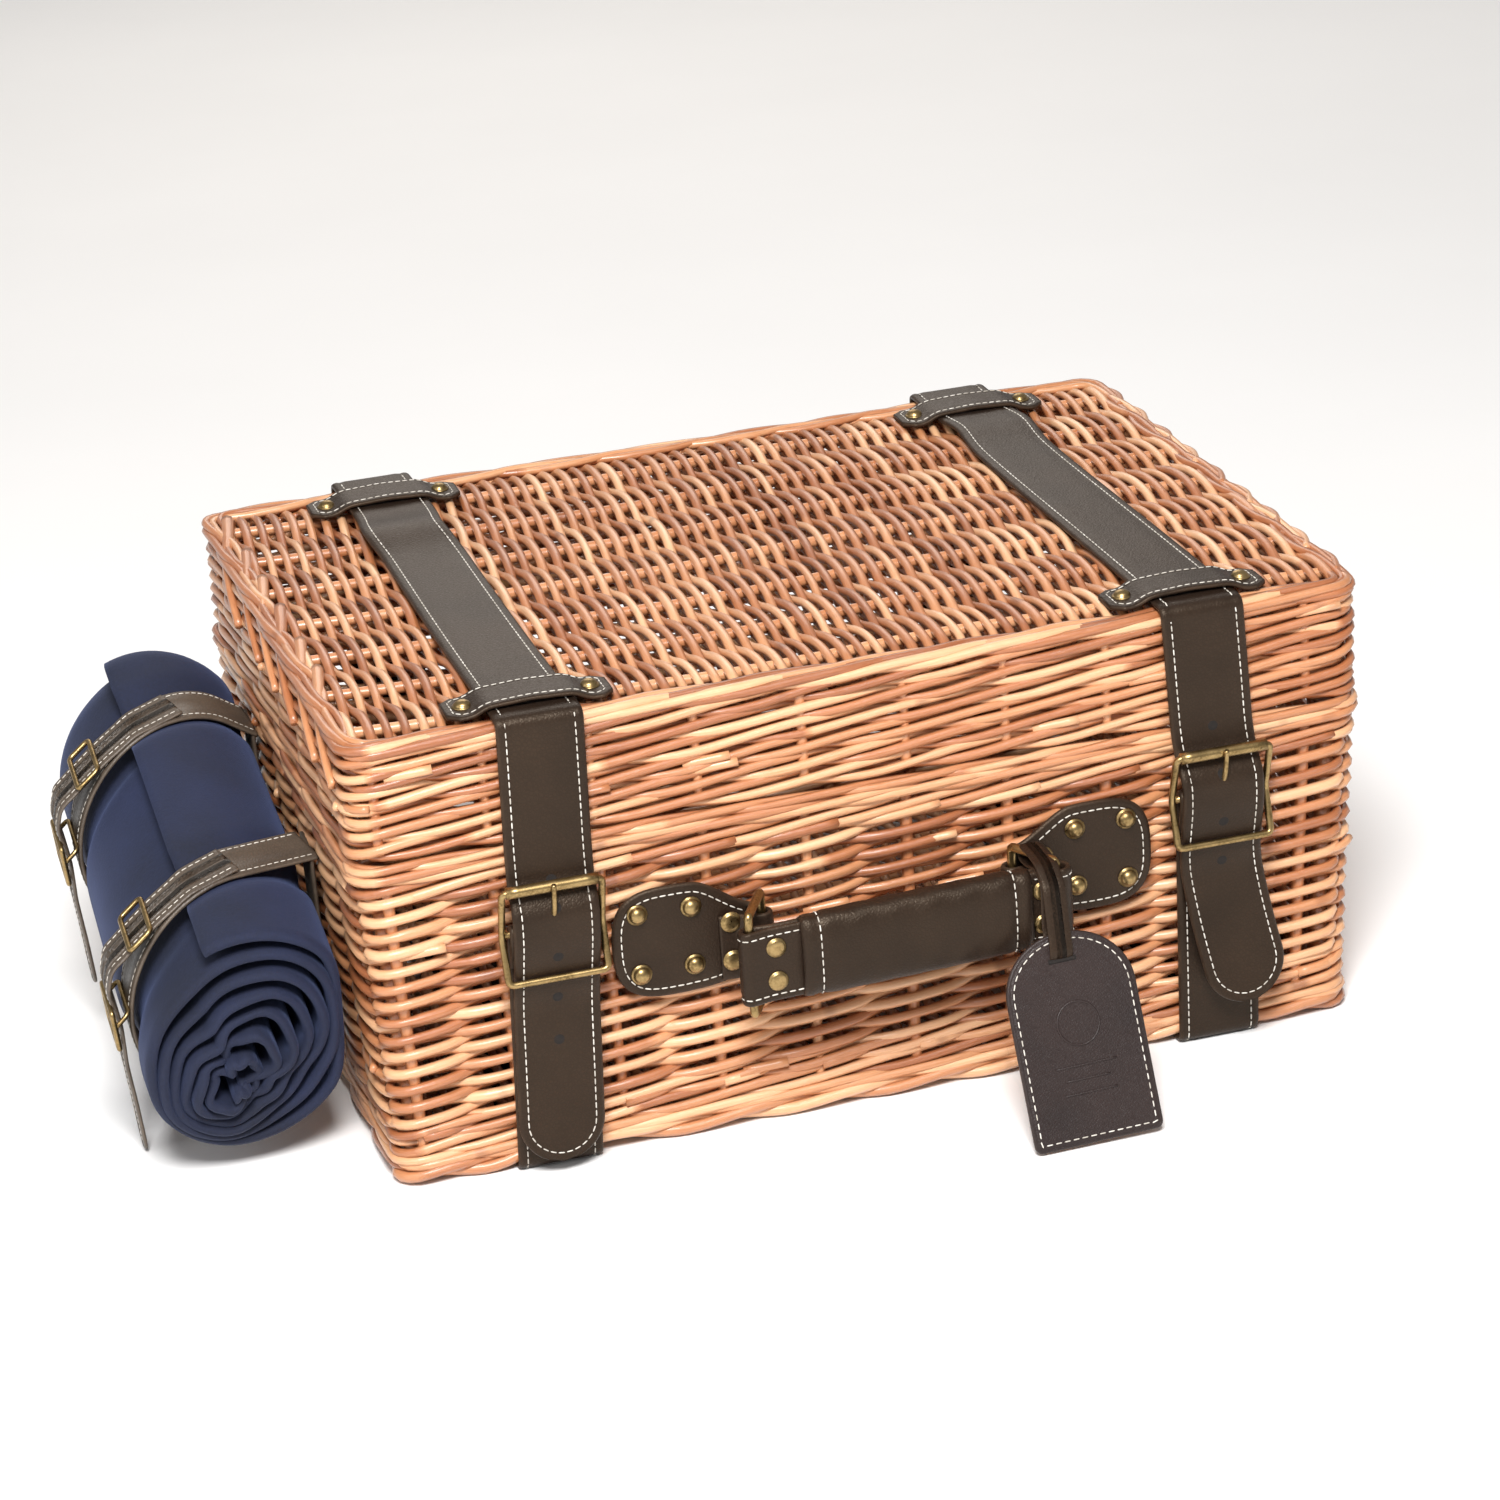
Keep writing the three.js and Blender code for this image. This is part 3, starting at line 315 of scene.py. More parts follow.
def band_seam(shape, band, s0, s1, inset=4.0, **options):
    """Two rows of stitches along a band from s0 to s1, each inset from its edge."""
    s = np.linspace(s0, s1, max(int((s1 - s0) / 2), 3))
    for side in (-1, 1):
        a = np.full(len(s), side * (band.wide / 2 - inset))
        line = band.at(s, a, np.full(len(s), band.thick / 2 - 0.1))
        stitches(shape, line, band.normal(s), **options)


# %% [markdown]
# ## Finishes: helpers
# A finish is a small net of shader nodes. These helpers keep each one short: one adds a node and
# fills its inputs, others make a colour ramp, a sum or a mix.
# %% Node helpers
def srgb(red, green, blue):
    """A colour given as screen values from 0 to 255, turned into the linear values nodes use."""
    value = np.array([red, green, blue]) / 255
    linear = np.where(value <= 0.04045, value / 12.92, ((value + 0.055) / 1.055) ** 2.4)
    return (*[float(v) for v in linear], 1.0)


class Net:
    """A tree of shader nodes that is filled from left to right."""

    def __init__(self, tree):
        self.tree = tree

    def node(self, kind, inputs=(), **settings):
        made = self.tree.nodes.new(kind)
        for key, value in settings.items():
            setattr(made, key, value)
        for key, value in dict(inputs).items():
            if isinstance(value, bpy.types.NodeSocket):
                self.tree.links.new(value, made.inputs[key])
            else:
                made.inputs[key].default_value = value
        return made

    def place(self):
        """Where a point is on its own piece."""
        return self.node("ShaderNodeTexCoord").outputs["Object"]

    def math(self, operation, first, second=0.0, clamp=False):
        made = self.node("ShaderNodeMath", {0: first, 1: second}, operation=operation, use_clamp=clamp)
        return made.outputs[0]

    def noise(self, vector, scale, detail=3.0, roughness=0.55):
        made = self.node("ShaderNodeTexNoise", {
            "Vector": vector, "Scale": scale, "Detail": detail, "Roughness": roughness})
        return made.outputs["Fac"]

    def ramp(self, value, *stops):
        made = self.node("ShaderNodeValToRGB", {"Fac": value})
        elements = made.color_ramp.elements
        while len(elements) < len(stops):
            elements.new(0.5)
        for element, (place, colour) in zip(elements, stops):
            element.position = place
            element.color = colour
        return made.outputs["Color"]

    def span(self, value, low, high, to_low=0.0, to_high=1.0):
        made = self.node("ShaderNodeMapRange", {
            "Value": value, "From Min": low, "From Max": high, "To Min": to_low, "To Max": to_high})
        return made.outputs["Result"]

    def mix(self, share, first, second, blend="MIX"):
        made = self.node("ShaderNodeMix", data_type="RGBA", blend_type=blend)
        for socket, value in ((made.inputs[0], share), (made.inputs[6], first), (made.inputs[7], second)):
            if isinstance(value, bpy.types.NodeSocket):
                self.tree.links.new(value, socket)
            else:
                socket.default_value = value
        return made.outputs[2]


def node_group(name, inputs, outputs, fill):
    """A shared effect: inputs are (name, kind, value), outputs (name, kind); fill links them."""
    tree = bpy.data.node_groups.new(name, "ShaderNodeTree")
    for label, kind, value in inputs:
        socket = tree.interface.new_socket(name=label, in_out="INPUT", socket_type=kind)
        if value is not None:
            socket.default_value = value
    for label, kind in outputs:
        tree.interface.new_socket(name=label, in_out="OUTPUT", socket_type=kind)
    net = Net(tree)
    source, sink = net.node("NodeGroupInput"), net.node("NodeGroupOutput")
    for label, value in fill(net, source.outputs).items():
        tree.links.new(value, sink.inputs[label])
    return tree


def material(name, fill, **sockets):
    """A material: plain numbers go straight on the shader, fill gives what changes over the surface."""
    made = bpy.data.materials.new(name)
    made.use_nodes = True
    made.node_tree.nodes.clear()
    net = Net(made.node_tree)
    shader = net.node("ShaderNodeBsdfPrincipled", {k.replace("_", " "): v for k, v in sockets.items()})
    output = net.node("ShaderNodeOutputMaterial")
    made.node_tree.links.new(shader.outputs[0], output.inputs[0])
    for label, value in fill(net).items():
        made.node_tree.links.new(value, shader.inputs[label])
    return made


def lay_of(net):
    """The lay that each point carries: along, across and tone."""
    source = net.node("ShaderNodeAttribute", attribute_name="lay")
    parts = net.node("ShaderNodeSeparateXYZ", {0: source.outputs["Vector"]})
    return parts.outputs[0], parts.outputs[1], parts.outputs[2]


def bump(net, height, strength, distance):
    """A bump from a height, for the shader's Normal."""
    made = net.node("ShaderNodeBump", {"Height": height, "Strength": strength, "Distance": distance})
    return made.outputs["Normal"]


# %% [markdown]
# ## Shared effects
# Patches are slow changes of shade over the whole thing, grain is the pebbled skin of leather, worn
# edge is where a strap rubs, and bark is the fine streaks and knots of a willow rod. Each is a group,
# built once and used by several finishes with other values.
# %% Node groups
def fill_patches(net, given):
    place = net.place()
    return {"Mask": net.span(net.noise(place, given["Scale"], 2.0), 0.3, 0.7)}


def fill_grain(net, given):
    place = net.place()
    cells = net.node("ShaderNodeTexVoronoi", {"Vector": place, "Scale": given["Scale"]},
                     feature="DISTANCE_TO_EDGE").outputs["Distance"]
    pebbles = net.span(cells, 0.0, 0.25)
    fine = net.noise(place, net.math("MULTIPLY", given["Scale"], 1.7), 3.0)
    return {"Height": net.math("MULTIPLY_ADD", pebbles, 0.6, clamp=False),
            "Fine": fine, "Pebbles": pebbles}


def fill_worn_edge(net, given):
    place = net.place()
    side = net.math("ABSOLUTE", given["Across"])
    rubbed = net.span(side, given["From"], 1.0)
    broken = net.span(net.noise(place, 90.0, 4.0), 0.35, 0.65)
    return {"Mask": net.math("MULTIPLY", rubbed, broken, clamp=True)}


def fill_bark(net, given):
    along = net.math("MULTIPLY", given["Along"], 0.045)
    place = net.node("ShaderNodeCombineXYZ", {
        0: along, 1: net.math("MULTIPLY", given["Tone"], 61.0),
        2: net.math("MULTIPLY", given["Around"], 5.0)}).outputs[0]
    streaks = net.noise(place, 2.6, 5.0, 0.65)
    slow = net.node("ShaderNodeCombineXYZ", {
        0: net.math("MULTIPLY", given["Along"], 0.012),
        1: net.math("MULTIPLY", given["Tone"], 17.0)}).outputs[0]
    knots = net.span(net.noise(slow, 3.0, 1.0), 0.69, 0.75)
    return {"Streaks": streaks, "Slow": net.noise(slow, 1.3, 2.0), "Knots": knots}


NUMBER = "NodeSocketFloat"
PATCHES = node_group("patches", [("Scale", NUMBER, 8.0)], [("Mask", NUMBER)], fill_patches)
GRAIN = node_group("leather grain", [("Scale", NUMBER, 700.0)],
                   [("Height", NUMBER), ("Fine", NUMBER), ("Pebbles", NUMBER)], fill_grain)
WORN_EDGE = node_group("worn edge", [("Across", NUMBER, 0.0), ("From", NUMBER, 0.9)],
                       [("Mask", NUMBER)], fill_worn_edge)
BARK = node_group("bark", [("Along", NUMBER, 0.0), ("Around", NUMBER, 0.0), ("Tone", NUMBER, 0.5)],
                  [("Streaks", NUMBER), ("Slow", NUMBER), ("Knots", NUMBER)], fill_bark)


def effect(net, group, **inputs):
    """Places a shared effect in a finish."""
    return net.node("ShaderNodeGroup", inputs, node_tree=group).outputs


# %% [markdown]
# ## Finish of the willow
# Peeled and steamed willow is buff to orange-brown, and no two rods are the same shade. The tone that
# each rod carries picks its shade, the bark group adds streaks along it and now and then a dark knot,
# and a thin clear coat gives the small bright lines along every rod.
# %% Willow and cane
def willow_finish(net):
    along, around, tone = lay_of(net)
    bark = effect(net, BARK, Along=along, Around=around, Tone=tone)
    shade = net.math("ADD", net.math("MULTIPLY", tone, 0.62), net.math("MULTIPLY", bark["Streaks"], 0.38))
    colour = net.ramp(shade, (0.14, srgb(118, 64, 36)), (0.36, srgb(170, 106, 66)),
                      (0.56, srgb(202, 142, 98)), (0.80, srgb(232, 184, 140)))
    colour = net.mix(net.math("MULTIPLY", bark["Knots"], 0.55), colour, srgb(104, 56, 30))
    patches = effect(net, PATCHES, Scale=14.0)["Mask"]
    colour = net.mix(net.math("MULTIPLY", patches, 0.14), colour, srgb(160, 84, 50))
    rough = net.span(bark["Streaks"], 0.3, 0.7, 0.26, 0.42)
    return {"Base Color": colour, "Roughness": rough,
            "Normal": bump(net, bark["Streaks"], 0.35, 0.0006)}


def cane_finish(net):
    patches = effect(net, PATCHES, Scale=60.0)["Mask"]
    colour = net.ramp(patches, (0.2, srgb(182, 118, 66)), (0.8, srgb(220, 168, 112)))
    place = net.place()
    fibre = net.noise(net.node("ShaderNodeMapping", {"Vector": place, "Scale": (30, 900, 900)})
                      .outputs[0], 1.0, 3.0)
    return {"Base Color": colour, "Roughness": net.span(fibre, 0.3, 0.7, 0.32, 0.5),
            "Normal": bump(net, fibre, 0.3, 0.0004)}


WILLOW = material("willow rods", willow_finish, Coat_Weight=0.45, Coat_Roughness=0.22)
CANE = material("split cane", cane_finish, Coat_Weight=0.15)


# %% [markdown]
# ## Finish of the leather, thread, brass and wool
# The leather is dark chocolate with a pebbled grain, a little greyer where it is rubbed. The straps of
# the blanket are taupe. The thread is off-white. The brass is antique: warm, with dark patches where
# it has tarnished. The blanket is navy wool with a short nap, which a sheen gives.
# %% Leather
def leather_finish(dark, light, rubbed, scale=620.0, depth=0.00022):
    """Leather between two shades, with pebbles as bump, painted shade in the hollows between them, and paler
    rubbed edges.
    """
    def fill(net):
        _, across, _ = lay_of(net)
        patches = effect(net, PATCHES, Scale=26.0)["Mask"]
        grain = effect(net, GRAIN, Scale=scale)
        colour = net.mix(patches, dark, light)
        # Painted shade: the hollows between the pebbles are mixed towards a darker shade of the leather.
        colour = net.mix(net.math("MULTIPLY", net.span(grain["Pebbles"], 0, 1, 1, 0), 0.35), colour,
                         tuple(0.45 * v for v in dark[:3]) + (1.0,))
        worn = effect(net, WORN_EDGE, Across=across, From=0.93)["Mask"]
        colour = net.mix(net.math("MULTIPLY", worn, 0.55), colour, rubbed)
        height = net.math("ADD", grain["Height"], net.math("MULTIPLY", grain["Fine"], 0.5))
        return {"Base Color": colour, "Roughness": net.span(grain["Fine"], 0.3, 0.7, 0.36, 0.52),
                "Normal": bump(net, height, 0.45, depth)}
    return fill


HIDE = material("chocolate leather", leather_finish(srgb(33, 23, 17), srgb(44, 32, 24), srgb(74, 57, 44)),
                Specular_IOR_Level=0.32, Specular_Tint=srgb(255, 232, 206))
HIDE_TAG = material("tag leather", leather_finish(srgb(36, 25, 23), srgb(46, 33, 30), srgb(72, 54, 47),
                                                  900.0, 0.00025), Specular_IOR_Level=0.4)
TAUPE = material("taupe leather", leather_finish(srgb(76, 65, 55), srgb(92, 80, 68), srgb(116, 102, 88)))


# %% Thread, brass and wool
def thread_finish(net):
    _, _, tone = lay_of(net)
    place = net.place()
    twist = net.noise(place, 1800.0, 2.0)
    colour = net.ramp(net.math("ADD", net.math("MULTIPLY", tone, 0.6), net.math("MULTIPLY", twist, 0.4)),
                      (0.2, srgb(178, 170, 158)), (0.8, srgb(222, 216, 206)))
    return {"Base Color": colour, "Normal": bump(net, twist, 0.4, 0.0002)}


def brass_finish(net):
    place = net.place()
    patches = effect(net, PATCHES, Scale=130.0)["Mask"]
    fine = net.noise(place, 900.0, 4.0)
    tarnish = net.math("MULTIPLY", patches, net.span(fine, 0.3, 0.7), clamp=True)
    colour = net.ramp(tarnish, (0.0, srgb(172, 146, 100)), (0.55, srgb(130, 108, 70)),
                      (1.0, srgb(82, 68, 46)))
    return {"Base Color": colour, "Roughness": net.span(fine, 0.3, 0.7, 0.26, 0.46),
            "Normal": bump(net, fine, 0.12, 0.0002)}


def wool_finish(net):
    along, across, _ = lay_of(net)
    lay = net.node("ShaderNodeCombineXYZ", {0: along, 1: across}).outputs[0]
    twill = net.node("ShaderNodeTexWave", {
        "Vector": lay, "Scale": 0.9, "Distortion": 1.2, "Detail": 2.0},
        bands_direction="DIAGONAL").outputs["Fac"]
    place = net.place()
    nap = net.noise(place, 700.0, 5.0, 0.7)
    patches = effect(net, PATCHES, Scale=18.0)["Mask"]
    shade = net.math("ADD", net.math("MULTIPLY", nap, 0.5), net.math("MULTIPLY", patches, 0.4))
    colour = net.ramp(shade, (0.2, srgb(10, 15, 32)), (0.75, srgb(24, 33, 64)))
    height = net.math("ADD", net.math("MULTIPLY", twill, 0.3), nap)
    return {"Base Color": colour, "Normal": bump(net, height, 0.4, 0.0005)}


THREAD = material("linen thread", thread_finish, Roughness=0.8)
BRASS = material("antique brass", brass_finish, Metallic=1.0)
WOOL = material("navy wool", wool_finish, Roughness=0.85, Sheen_Weight=0.2, Sheen_Roughness=0.45,
                Sheen_Tint=srgb(120, 140, 200))
print("finishes", [m.name for m in (WILLOW, CANE, HIDE, HIDE_TAG, TAUPE, THREAD, BRASS, WOOL)])

# %% [markdown]
# ## The way round the hamper
# The weavers run right round the four walls, so one table gives the path: how far round it is, where
# that is in plan, and which way is out. A rod is then only a height and a distance in or out for each
# place round. There are as many upright stakes as fit about 46 mm apart.
# %% Path round the walls
CORNER = 15.0
STAKES = 34


def round_table(half_x, half_y, corner=CORNER):
    """Plan of a rectangle with round corners, from the front left, in steps: place and way out."""
    legs = []
    turns = [(half_x, -half_y, -90), (half_x, half_y, 0), (-half_x, half_y, 90), (-half_x, -half_y, 180)]
    for x, y, first in turns:
        angle = np.radians(first + np.linspace(0, 90, 13))
        centre = np.array([x - math.copysign(corner, x), y - math.copysign(corner, y)])
        legs.append(centre + corner * np.stack([np.cos(angle), np.sin(angle)], axis=1))
    plan = np.concatenate([np.concatenate(legs), legs[0][:1]])
    plan = np.roll(plan[:-1], 13, axis=0)
    plan = np.concatenate([plan[12:], plan[:13]])
    return resample(plan, 1.0)


class Round:
    """The way round a wall; half widths may lean with height."""

    def __init__(self, half_x, half_y, centre_y=0.0, lean=False):
        self.plan = round_table(half_x, half_y)
        self.half = (half_x, half_y)
        self.centre_y, self.lean = centre_y, lean
        self.s = lengths(self.plan)
        self.long = self.s[-1]
        ahead = unit(np.roll(self.plan[:-1], -1, axis=0) - np.roll(self.plan[:-1], 1, axis=0))
        ahead = np.concatenate([ahead, ahead[:1]])
        self.out = np.stack([ahead[:, 1], -ahead[:, 0]], axis=1)

    def at(self, s, z, out):
        """Place = plan(s), leaning with z, plus out along the way out; also that way out."""
        s = np.mod(s, self.long)
        x, y = (np.interp(s, self.s, self.plan[:, k]) for k in (0, 1))
        nx, ny = (np.interp(s, self.s, self.out[:, k]) for k in (0, 1))
        if self.lean:
            x = x * half_width(z) / self.half[0]
            y = y * half_depth(z) / self.half[1]
        place = np.stack([x + nx * out, y + ny * out + self.centre_y, np.broadcast_to(z, x.shape)], -1)
        return place, np.stack([nx, ny, np.zeros_like(nx)], -1)


BODY_ROUND = Round(HALF_X, HALF_Y, lean=True)
LID_ROUND = Round(HALF_X, (LID_BACK - LID_FRONT) / 2, (LID_BACK + LID_FRONT) / 2)
STAKE_STEP = BODY_ROUND.long / STAKES
MIDDLE = -5.8
print("round the walls", round(BODY_ROUND.long), "mm, stakes", round(STAKE_STEP, 1), "mm apart")

# %% [markdown]
# ## Weaves
# Two weaves cover the walls. Randing takes one rod in front of a stake and behind the next, and each
# rod starts one stake on and climbs as it goes, so the rods slope and leave small dark gaps. Waling
# takes three rods, each in front of two stakes and behind one, which makes a dense rope. Real rods
# are never even, so each wanders a little and is thick at one end and thin at the other.
# %% Rods round the walls
def wander(s, size, reach, count=4):
    """A slow random wave: a sum of sines whose lengths are near reach."""
    wave = np.zeros_like(s)
    for _ in range(count):
        wave += np.sin(2 * np.pi * s / (reach * draw.uniform(0.6, 1.8)) + draw.uniform(0, 6.28))
    return size * wave / count


def rod_tones(s, rod=420.0):
    """Tone of each point and its share along its rod: a new rod starts every so often."""
    rods = np.floor((s + draw.uniform(0, rod)) / rod).astype(int)
    tones = draw.uniform(0.12, 0.95, rods.max() - rods.min() + 1)
    share = np.mod(s + draw.uniform(0, rod), rod) / rod
    return tones[rods - rods.min()], share


def randing(shape, way, low, high, radius=2.25, pitch=4.05, swing=3.5, step=5.0):
    """One rod from each stake. Height rises one pitch a stake; out is a wave that changes side
    at every stake: middle + swing cos(pi s / stake step + pi k), flattened where it passes in front."""
    slope = pitch / STAKE_STEP
    for k in range(STAKES):
        first = k * STAKE_STEP
        s = np.arange(first, first + (high - low) / slope, step)
        z = low + (s - first) * slope + wander(s, 0.55, 150)
        wave = np.cos(np.pi * s / STAKE_STEP + np.pi * k)
        out = MIDDLE + swing * np.tanh(1.5 * wave) / np.tanh(1.5) + wander(s, 0.25, 70)
        place, up = way.at(s, z, out)
        tone, share = rod_tones(s)
        thick = radius * (1.1 - 0.22 * share) * draw.uniform(0.94, 1.05)
        tube(shape, place, thick, up, sides=6, tone=tone, start=first)


def waling(shape, way, middle, radius=2.1, rise=3.3, swing=2.9, stakes=3, step=5.0, out=MIDDLE, shift=0.0,
           lift=None):
    """A rope of rods round the wall: each is in front for all but one stake of its period, and climbs
    while it is in front. Out = middle + swing times a flattened wave, height = middle + rise sin."""
    samples = int(way.long / step)
    s = np.arange(samples) * way.long / samples
    turns = round(way.long / (stakes * STAKE_STEP))
    for strand in range(stakes):
        angle = 2 * np.pi * (s * turns / way.long + strand / stakes) + shift
        angle = angle + 0.25 * np.sin(2 * np.pi * s / way.long * 5 + shift)
        z = middle + rise * np.sin(angle) + loop_wander(s, way.long, 0.45)
        if lift is not None:
            z = z + lift(s)
        away = out + swing * np.tanh(1.8 * (np.cos(angle) + 0.25)) + loop_wander(s, way.long, 0.2)
        place, up = way.at(s, z, away)
        tone, share = rod_tones(s, 330.0)
        thick = radius * (1.08 - 0.16 * share) * draw.uniform(0.95, 1.05)
        tube(shape, place, thick, up, sides=6, closed=True, tone=tone)


def loop_wander(s, long, size, count=5):
    """A slow random wave that ends as it starts, for a rod that goes all the way round."""
    wave = np.zeros_like(s)
    for _ in range(count):
        wave += np.sin(2 * np.pi * s / long * draw.integers(5, 30) + draw.uniform(0, 6.28))
    return size * wave / count


# %% [markdown]
# ## The body
# The stakes stand in the wall, randing fills the middle of it, and waling binds the foot and the top.
# The foot border lifts a little where the straps pass under it. Corner stakes are thicker.
# %% Stakes of the body
def stakes(shape, way, low, high, radius, out=MIDDLE):
    """Upright rods half a step from where the weavers cross over, one every stake step."""
    z = np.linspace(low, high, 12)
    for k in range(STAKES):
        s = np.full(len(z), k * STAKE_STEP) + draw.normal(0, 0.6)
        place, up = way.at(s, z, out + wander(z, 0.3, 60))
        tube(shape, place, radius * draw.uniform(0.9, 1.1), up, sides=8, tone=draw.uniform(0.3, 0.8))


def corner_stakes(shape, way, low, high, radius=4.6):
    """Four thick rods in the corners."""
    z = np.linspace(low, high, 8)
    for sx, sy in ((-1, -1), (1, -1), (1, 1), (-1, 1)):
        x = sx * (half_width(z) if way.lean else np.full(8, HALF_X)) - sx * 13.5
        y = sy * (half_depth(z) if way.lean else np.full(8, way.half[1])) - sy * 13.5 + way.centre_y
        tube(shape, np.stack([x, y, z], 1), radius, (1, 0, 0), sides=10, tone=0.5)


body_stakes = Shape()
stakes(body_stakes, BODY_ROUND, 6, 148, 2.7)
corner_stakes(body_stakes, BODY_ROUND, 4, 148)
finish_piece(body_stakes, "body_stakes", [WILLOW], "basket", "willow",
             "post_front_left", "post_front_right", "post_back_left", "post_back_right")


# %% Randing and waling of the body
def strap_lift(s):
    """How much the foot border rises over the straps: full at a strap, nothing 30 mm from it."""
    place, _ = BODY_ROUND.at(s, np.zeros_like(s), np.zeros_like(s))
    near = np.minimum(abs(place[:, 0] - STRAP_X["left"]), abs(place[:, 0] - STRAP_X["right"]))
    side = abs(place[:, 1]) > HALF_Y - LEAN_Y - CORNER
    return 2.8 * side * np.exp(-(near / 26.0) ** 4)


body_randing = Shape()
randing(body_randing, BODY_ROUND, 22.0, 137.0)
finish_piece(body_randing, "body_randing", [WILLOW], "basket", "willow",
             "wall_front", "wall_back", "wall_left", "wall_right")

body_waling = Shape()
for row, height in enumerate((16.5, 24.5)):
    waling(body_waling, BODY_ROUND, height, shift=1.9 * row)
waling(body_waling, BODY_ROUND, 138.5, shift=0.7)
finish_piece(body_waling, "body_waling", [WILLOW], "basket", "willow")

body_borders = Shape()
waling(body_borders, BODY_ROUND, 5.2, radius=2.5, rise=2.1, swing=2.2, stakes=2, out=-3.6, lift=strap_lift)
waling(body_borders, BODY_ROUND, 10.4, radius=2.1, rise=1.6, swing=2.0, stakes=3, out=-3.8, shift=1.0)
waling(body_borders, BODY_ROUND, 146.2, radius=1.95, rise=1.5, swing=2.0, stakes=3, out=-3.4, shift=2.0)
waling(body_borders, BODY_ROUND, 150.6, radius=1.9, rise=1.0, swing=1.9, stakes=2, out=-3.4, shift=0.4)
finish_piece(body_borders, "body_borders", [WILLOW], "basket", "willow",
             "foot_border", "border_front", "border_back", "border_left", "border_right")


# %% [markdown]
# ## Woven panels
# The lid's top and the base are flat weaves: thick sticks run from end to end, and thinner weavers
# cross them from front to back, over one and under the next. Where a weaver goes over a stick it
# makes a hump, so the panel shows bands of slanted humps.
# %% Panel weave
def panel(shape, half_x, front, back, middle, sticks, pitch, radius, swing, stick_radius):
    """Weavers: height = middle + swing cos(pi (y - y0) / spacing + pi i), for weaver i."""
    spacing = (back - front) / sticks
    rows = front + spacing * (np.arange(sticks) + 0.5)
    count = int(2 * half_x / pitch)
    y = np.linspace(front, back, 76)
    for i in range(count):
        x0 = -half_x + (i + 0.5) * 2 * half_x / count
        sway = 2.5 * math.sin(x0 / 61.0) + 1.5 * math.sin(x0 / 23.0)
        angle = np.pi * (y - rows[0] - sway) / spacing + np.pi * i
        x = x0 + 1.1 * np.sin(angle + 1.2) + 1.2 * np.sin(y / 47.0 + x0 / 80.0) + wander(y, 0.35, 90)
        z = middle + swing * np.tanh(1.25 * np.cos(angle)) / np.tanh(1.25)
        z = z - 5.0 * np.exp(-(y - front) / 5.0) - 5.0 * np.exp(-(back - y) / 5.0)
        tone, share = rod_tones(y, 600.0)
        thick = radius * draw.uniform(0.84, 1.06) * (1.03 - 0.1 * share)
        tube(shape, np.stack([x, y, z], 1), thick, sides=6, tone=tone, start=draw.uniform(0, 900))
    x = np.linspace(-half_x - 3, half_x + 3, 90)
    for y0 in rows:
        sway = 2.5 * np.sin(x / 61.0) + 1.5 * np.sin(x / 23.0)
        path = np.stack([x, y0 + sway, np.full_like(x, middle)], 1)
        tube(shape, path, stick_radius, sides=8, tone=draw.uniform(0.3, 0.7))


lid_top = Shape()
panel(lid_top, 222.0, LID_FRONT + 6, LID_BACK - 6, 203.2, 7, 3.72, 2.35, 2.75, 2.6)
finish_piece(lid_top, "lid_top_weave", [WILLOW], "lid", "willow", "lid_panel")
base = Shape()
panel(base, 214.0, -157.0, 157.0, 8.2, 7, 4.6, 2.1, 2.5, 2.5)
finish_piece(base, "base_weave", [WILLOW], "basket", "willow", "base_panel")

# %% [markdown]
# ## The lid's rim and border
# The rim is waled from its foot to the top, over stakes of its own. A border of three rods goes round
# the top edge. At the left end the panel's sticks come up over the edge and are cut off slanting, and
# at the right end the border makes open loops.
# %% Rim of the lid
lid_rim = Shape()
stakes(lid_rim, LID_ROUND, 157, 203, 2.5)
corner_stakes(lid_rim, LID_ROUND, 157, 202)
for row in range(6):
    waling(lid_rim, LID_ROUND, 158.9 + 7.9 * row, radius=2.05, rise=3.2, shift=1.7 * row + 0.3)
finish_piece(lid_rim, "lid_rim_waling", [WILLOW], "lid", "willow",
             "lid_rim_front", "lid_rim_left", "lid_rim_right", "lid_rim_back")

lid_border = Shape()
waling(lid_border, LID_ROUND, 203.9, radius=2.15, rise=1.7, swing=2.3, out=-4.6, shift=0.9)
waling(lid_border, LID_ROUND, 205.6, radius=1.9, rise=0.6, swing=2.2, stakes=2, out=-8.0, shift=0.3)


def cut_stick_ends(shape):
    """Thick rods at the left end: from a slanting cut on top, forward along the edge and down the side."""
    for y0 in np.linspace(138, -84, 6):
        points = [(-217.5, y0 + 8, 206.4), (-221, y0 - 14, 206.2), (-226.5, y0 - 38, 203.0),
                  (-229.5, y0 - 60, 194.5), (-230.0, y0 - 78, 184.5)]
        path = smoothed(points, 26, 4.0)
        path[:, 1] = np.maximum(path[:, 1] + draw.normal(0, 3), -150.0)
        thick = np.linspace(3.1, 1.9, len(path)) * draw.uniform(0.9, 1.1)
        tube(shape, path, thick, sides=8, tone=draw.uniform(0.2, 0.6))


def edge_loops(shape):
    """Open loops at the right end: x = edge + reach times the size of a sine along the edge."""
    t = np.linspace(0, np.pi, 16)
    for k, y0 in enumerate(np.linspace(-150, 116, 9)):
        path = np.stack([224.0 + 6.2 * np.sin(t), y0 + 46 * t / np.pi, 204.6 + 1.2 * np.cos(t)], 1)
        tube(shape, path, 1.9, sides=8, tone=0.35 + 0.4 * (k % 2))


cut_stick_ends(lid_border)
edge_loops(lid_border)
finish_piece(lid_border, "lid_border", [WILLOW], "lid", "willow")


